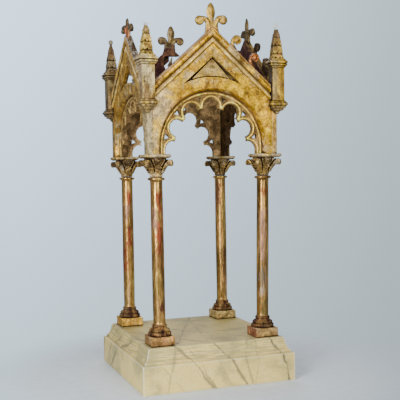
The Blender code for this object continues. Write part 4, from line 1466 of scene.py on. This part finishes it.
def make_spirelets():
    for seed, corner in enumerate(CORNERS):
        node = "spirelet_" + corner
        mesh = spirelet_mesh(corner, corner in CRUMBS, seed * 3.0)
        place = at_corner(corner, PINNACLE_AXIS, PINNACLE_SHIFT[corner])
        piece(node + "_carved", mesh, spirelet_material(corner), node, place=place)


# ---- remnants of the broken buds

SPLINTER = ((-2.6, 830.0, 1.6, 1.4), (-2.9, 834.0, 1.1, 1.0), (-3.1, 837.0, 0.7, 0.6),
            (-3.0, 840.0, 0.3, 0.3))
# where the wires leave the broken top, and (u, height, size) of the crumbs on them
CRUMBS = {
    "front_left": (1.0, ((1.5, 838.6, 1.8), (5.0, 841.0, 1.6), (8.0, 838.6, 1.3), (-5.5, 841.0, 1.3))),
    "front_right": (-3.4, ((-7.5, 843.0, 1.8), (-4.5, 849.0, 2.2), (0.5, 852.0, 2.0), (4.5, 846.0, 2.4),
                           (-1.5, 844.0, 2.2), (8.0, 850.0, 1.8))),
}
WIRE_FOOT = 830.0


def plain_frame(u, z, depth):
    return (u, depth, z)


def wire(shape, root, u, z):
    """A thin wire from the broken top to a crumb."""

    def frame_of(a, b, c):
        return (a, c + 0.6 * u * smoothstep(WIRE_FOOT, z, b), b)

    stations = ((root, WIRE_FOOT, 0.45, 0.45), (lerp(root, u, 0.5), lerp(832.0, z, 0.6), 0.4, 0.4),
                (u, z, 0.35, 0.35))
    limb(shape, stations, frame_of, sides=6)


def make_remnants():
    """What is left of the two broken buds: a dark splinter, and pale plaster crumbs on wires."""
    dark = Gilding("splinter_gilding", gold=(0.20, 0.13, 0.07), pale=(0.25, 0.19, 0.13), metal=0.3)
    pale = Gilding("crumb_plaster", gold=(0.62, 0.56, 0.44), pale=(0.74, 0.70, 0.62), metal=0.05, rough=0.6,
                   bole_from=0.9, brown_from=0.58, reach=0.002, hollow_dirt_and_shade=0.8)
    plaster = pale.finish()
    shape = Shape()
    limb(shape, SPLINTER, plain_frame, sides=8)
    place = at_corner("front_left", PINNACLE_AXIS)
    piece("splinter_front_left", smooth(shape.mesh("splinter")), dark.finish(), place=place)
    for corner, (root, crumbs) in CRUMBS.items():
        shape = Shape()
        for u, z, size in crumbs:
            ball(shape, (u, z, 0.6 * u), (size, 0.8 * size, size), plain_frame, 6, 9)
            wire(shape, root, u, z)
        name = "crumbs_" + corner
        place = at_corner(corner, PINNACLE_AXIS)
        piece(name, smooth(shape.mesh(name)), plaster, place=place)


# ---- floor, lights, camera

HIGH_LEFT = (1.42, 1.82, 2.35)
HIGH_RIGHT = (0.69, 0.86, 0.94)
LOW_LEFT = (0.84, 1.08, 1.22)
LOW_RIGHT = (0.52, 0.61, 0.66)
ROOM = (0.24, 0.26, 0.29)
LIGHT_AIM = Vector((0.0, 0.0, 0.45))
CAMERA_PLACE = (-0.6759, -1.8876, 0.5071)
CAMERA_FORWARD = (0.33411, 0.94034, -0.06419)
CAMERA_ROLL = -0.908
CAMERA_LENS = 71.63
CAMERA_SHIFT = (0.025, 0.055)


def make_floor():
    """A pale disc under the plinth that fades into the backdrop."""
    n = Material("studio_floor")
    away = (n.x * n.x + n.y * n.y).root()
    pale = n.mix(n.ramp(n.noise(n.place(), 40.0, 4.0), 0.4, 0.6), (0.74, 0.80, 0.86), (0.78, 0.84, 0.90))
    n.set("Base Color", pale)
    n.set("Alpha", n.ramp(away, 0.31, 0.62, 1.0, 0.0))
    n.set("Roughness", 0.9)
    disc = Shape()
    rim = arc((0.0, 0.0), 700.0, 0.0, 360.0, 96)[:-1]
    disc.faces.append(tuple(disc.ring([(x, y, 0.0) for x, y in rim])))
    mesh = disc.mesh("studio_floor")
    mesh.materials.append(n.mat)
    floor = linked("studio_floor", mesh)
    floor.location.z = -0.0005


def area_light(name, azimuth, elevation, distance, size, power, colour):
    """A soft light aimed at the canopy. Azimuth 0 stands in front, 90 at the right."""
    a, e = math.radians(azimuth), math.radians(elevation)
    direction = Vector((math.sin(a) * math.cos(e), -math.cos(a) * math.cos(e), math.sin(e)))
    data = bpy.data.lights.new(name, "AREA")
    data.shape = "RECTANGLE"
    data.size, data.size_y = size
    data.energy = power
    data.color = colour
    lamp = linked(name, data)
    lamp.location = LIGHT_AIM + direction * distance
    lamp.rotation_euler = direction.to_track_quat("Z", "Y").to_euler()
    lamp.visible_camera = False


def make_backdrop():
    """A pale, softly graded wall all round; the room that the gilding mirrors is dimmer."""
    world = bpy.data.worlds.new("studio")
    world.use_nodes = True
    world.node_tree.nodes.clear()
    n = Nodes(world.node_tree)
    direction = n.add("TexCoord", out="Generated")
    sideways = n.add("VectorMath", {0: direction, 1: (0.94, -0.34, 0.0)}, "Value", operation="DOT_PRODUCT")
    leftness = n.ramp(sideways, -0.22, 0.24, 1.0, 0.0, "LINEAR")
    height = n.ramp(n.split(direction)[2], -0.24, 0.24, kind="LINEAR")
    wall = n.mix(height, n.mix(leftness, LOW_RIGHT, LOW_LEFT), n.mix(leftness, HIGH_RIGHT, HIGH_LEFT))
    colour = n.mix(n.add("LightPath", out="Is Camera Ray"), ROOM, wall)
    n.node("OutputWorld", {"Surface": n.add("Background", {"Color": colour, "Strength": 1.0})})
    bpy.context.scene.world = world


def make_lights():
    area_light("key", 7.0, 15.0, 2.6, (1.6, 1.4), 34.0, (1.0, 0.97, 0.93))
    area_light("window", -43.0, 14.0, 1.8, (0.6, 1.4), 37.0, (0.96, 0.98, 1.0))
    area_light("overhead", 10.0, 78.0, 2.6, (1.8, 1.8), 1.5, (1.0, 1.0, 1.0))
    area_light("behind", 165.0, 38.0, 2.6, (1.4, 1.4), 26.0, (0.98, 0.99, 1.0))


def make_camera():
    """Seen from a little above the middle, about 20 degrees to the left of the front."""
    forward = Vector(CAMERA_FORWARD).normalized()
    level = forward.cross(Vector((0.0, 0.0, 1.0))).normalized()
    upright = level.cross(forward)
    roll = math.radians(CAMERA_ROLL)
    right = level * math.cos(roll) + upright * math.sin(roll)
    up = upright * math.cos(roll) - level * math.sin(roll)
    turn = Matrix((right, up, -forward)).transposed().to_4x4()
    data = bpy.data.cameras.new("camera")
    data.sensor_width = 36.0
    data.lens = CAMERA_LENS
    data.shift_x, data.shift_y = CAMERA_SHIFT
    camera = linked("camera", data)
    camera.matrix_world = Matrix.Translation(CAMERA_PLACE) @ turn
    bpy.context.scene.camera = camera


# ---- putting it together

def main():
    make_camera()
    make_backdrop()
    make_lights()
    make_floor()
    make_plinth()
    make_feet()
    make_columns()
    make_capitals()
    make_walls()
    make_rakes()
    make_front_panel()
    make_finials()
    make_crockets()
    make_stubs()
    make_pinnacles()
    make_spirelets()
    make_remnants()


main()
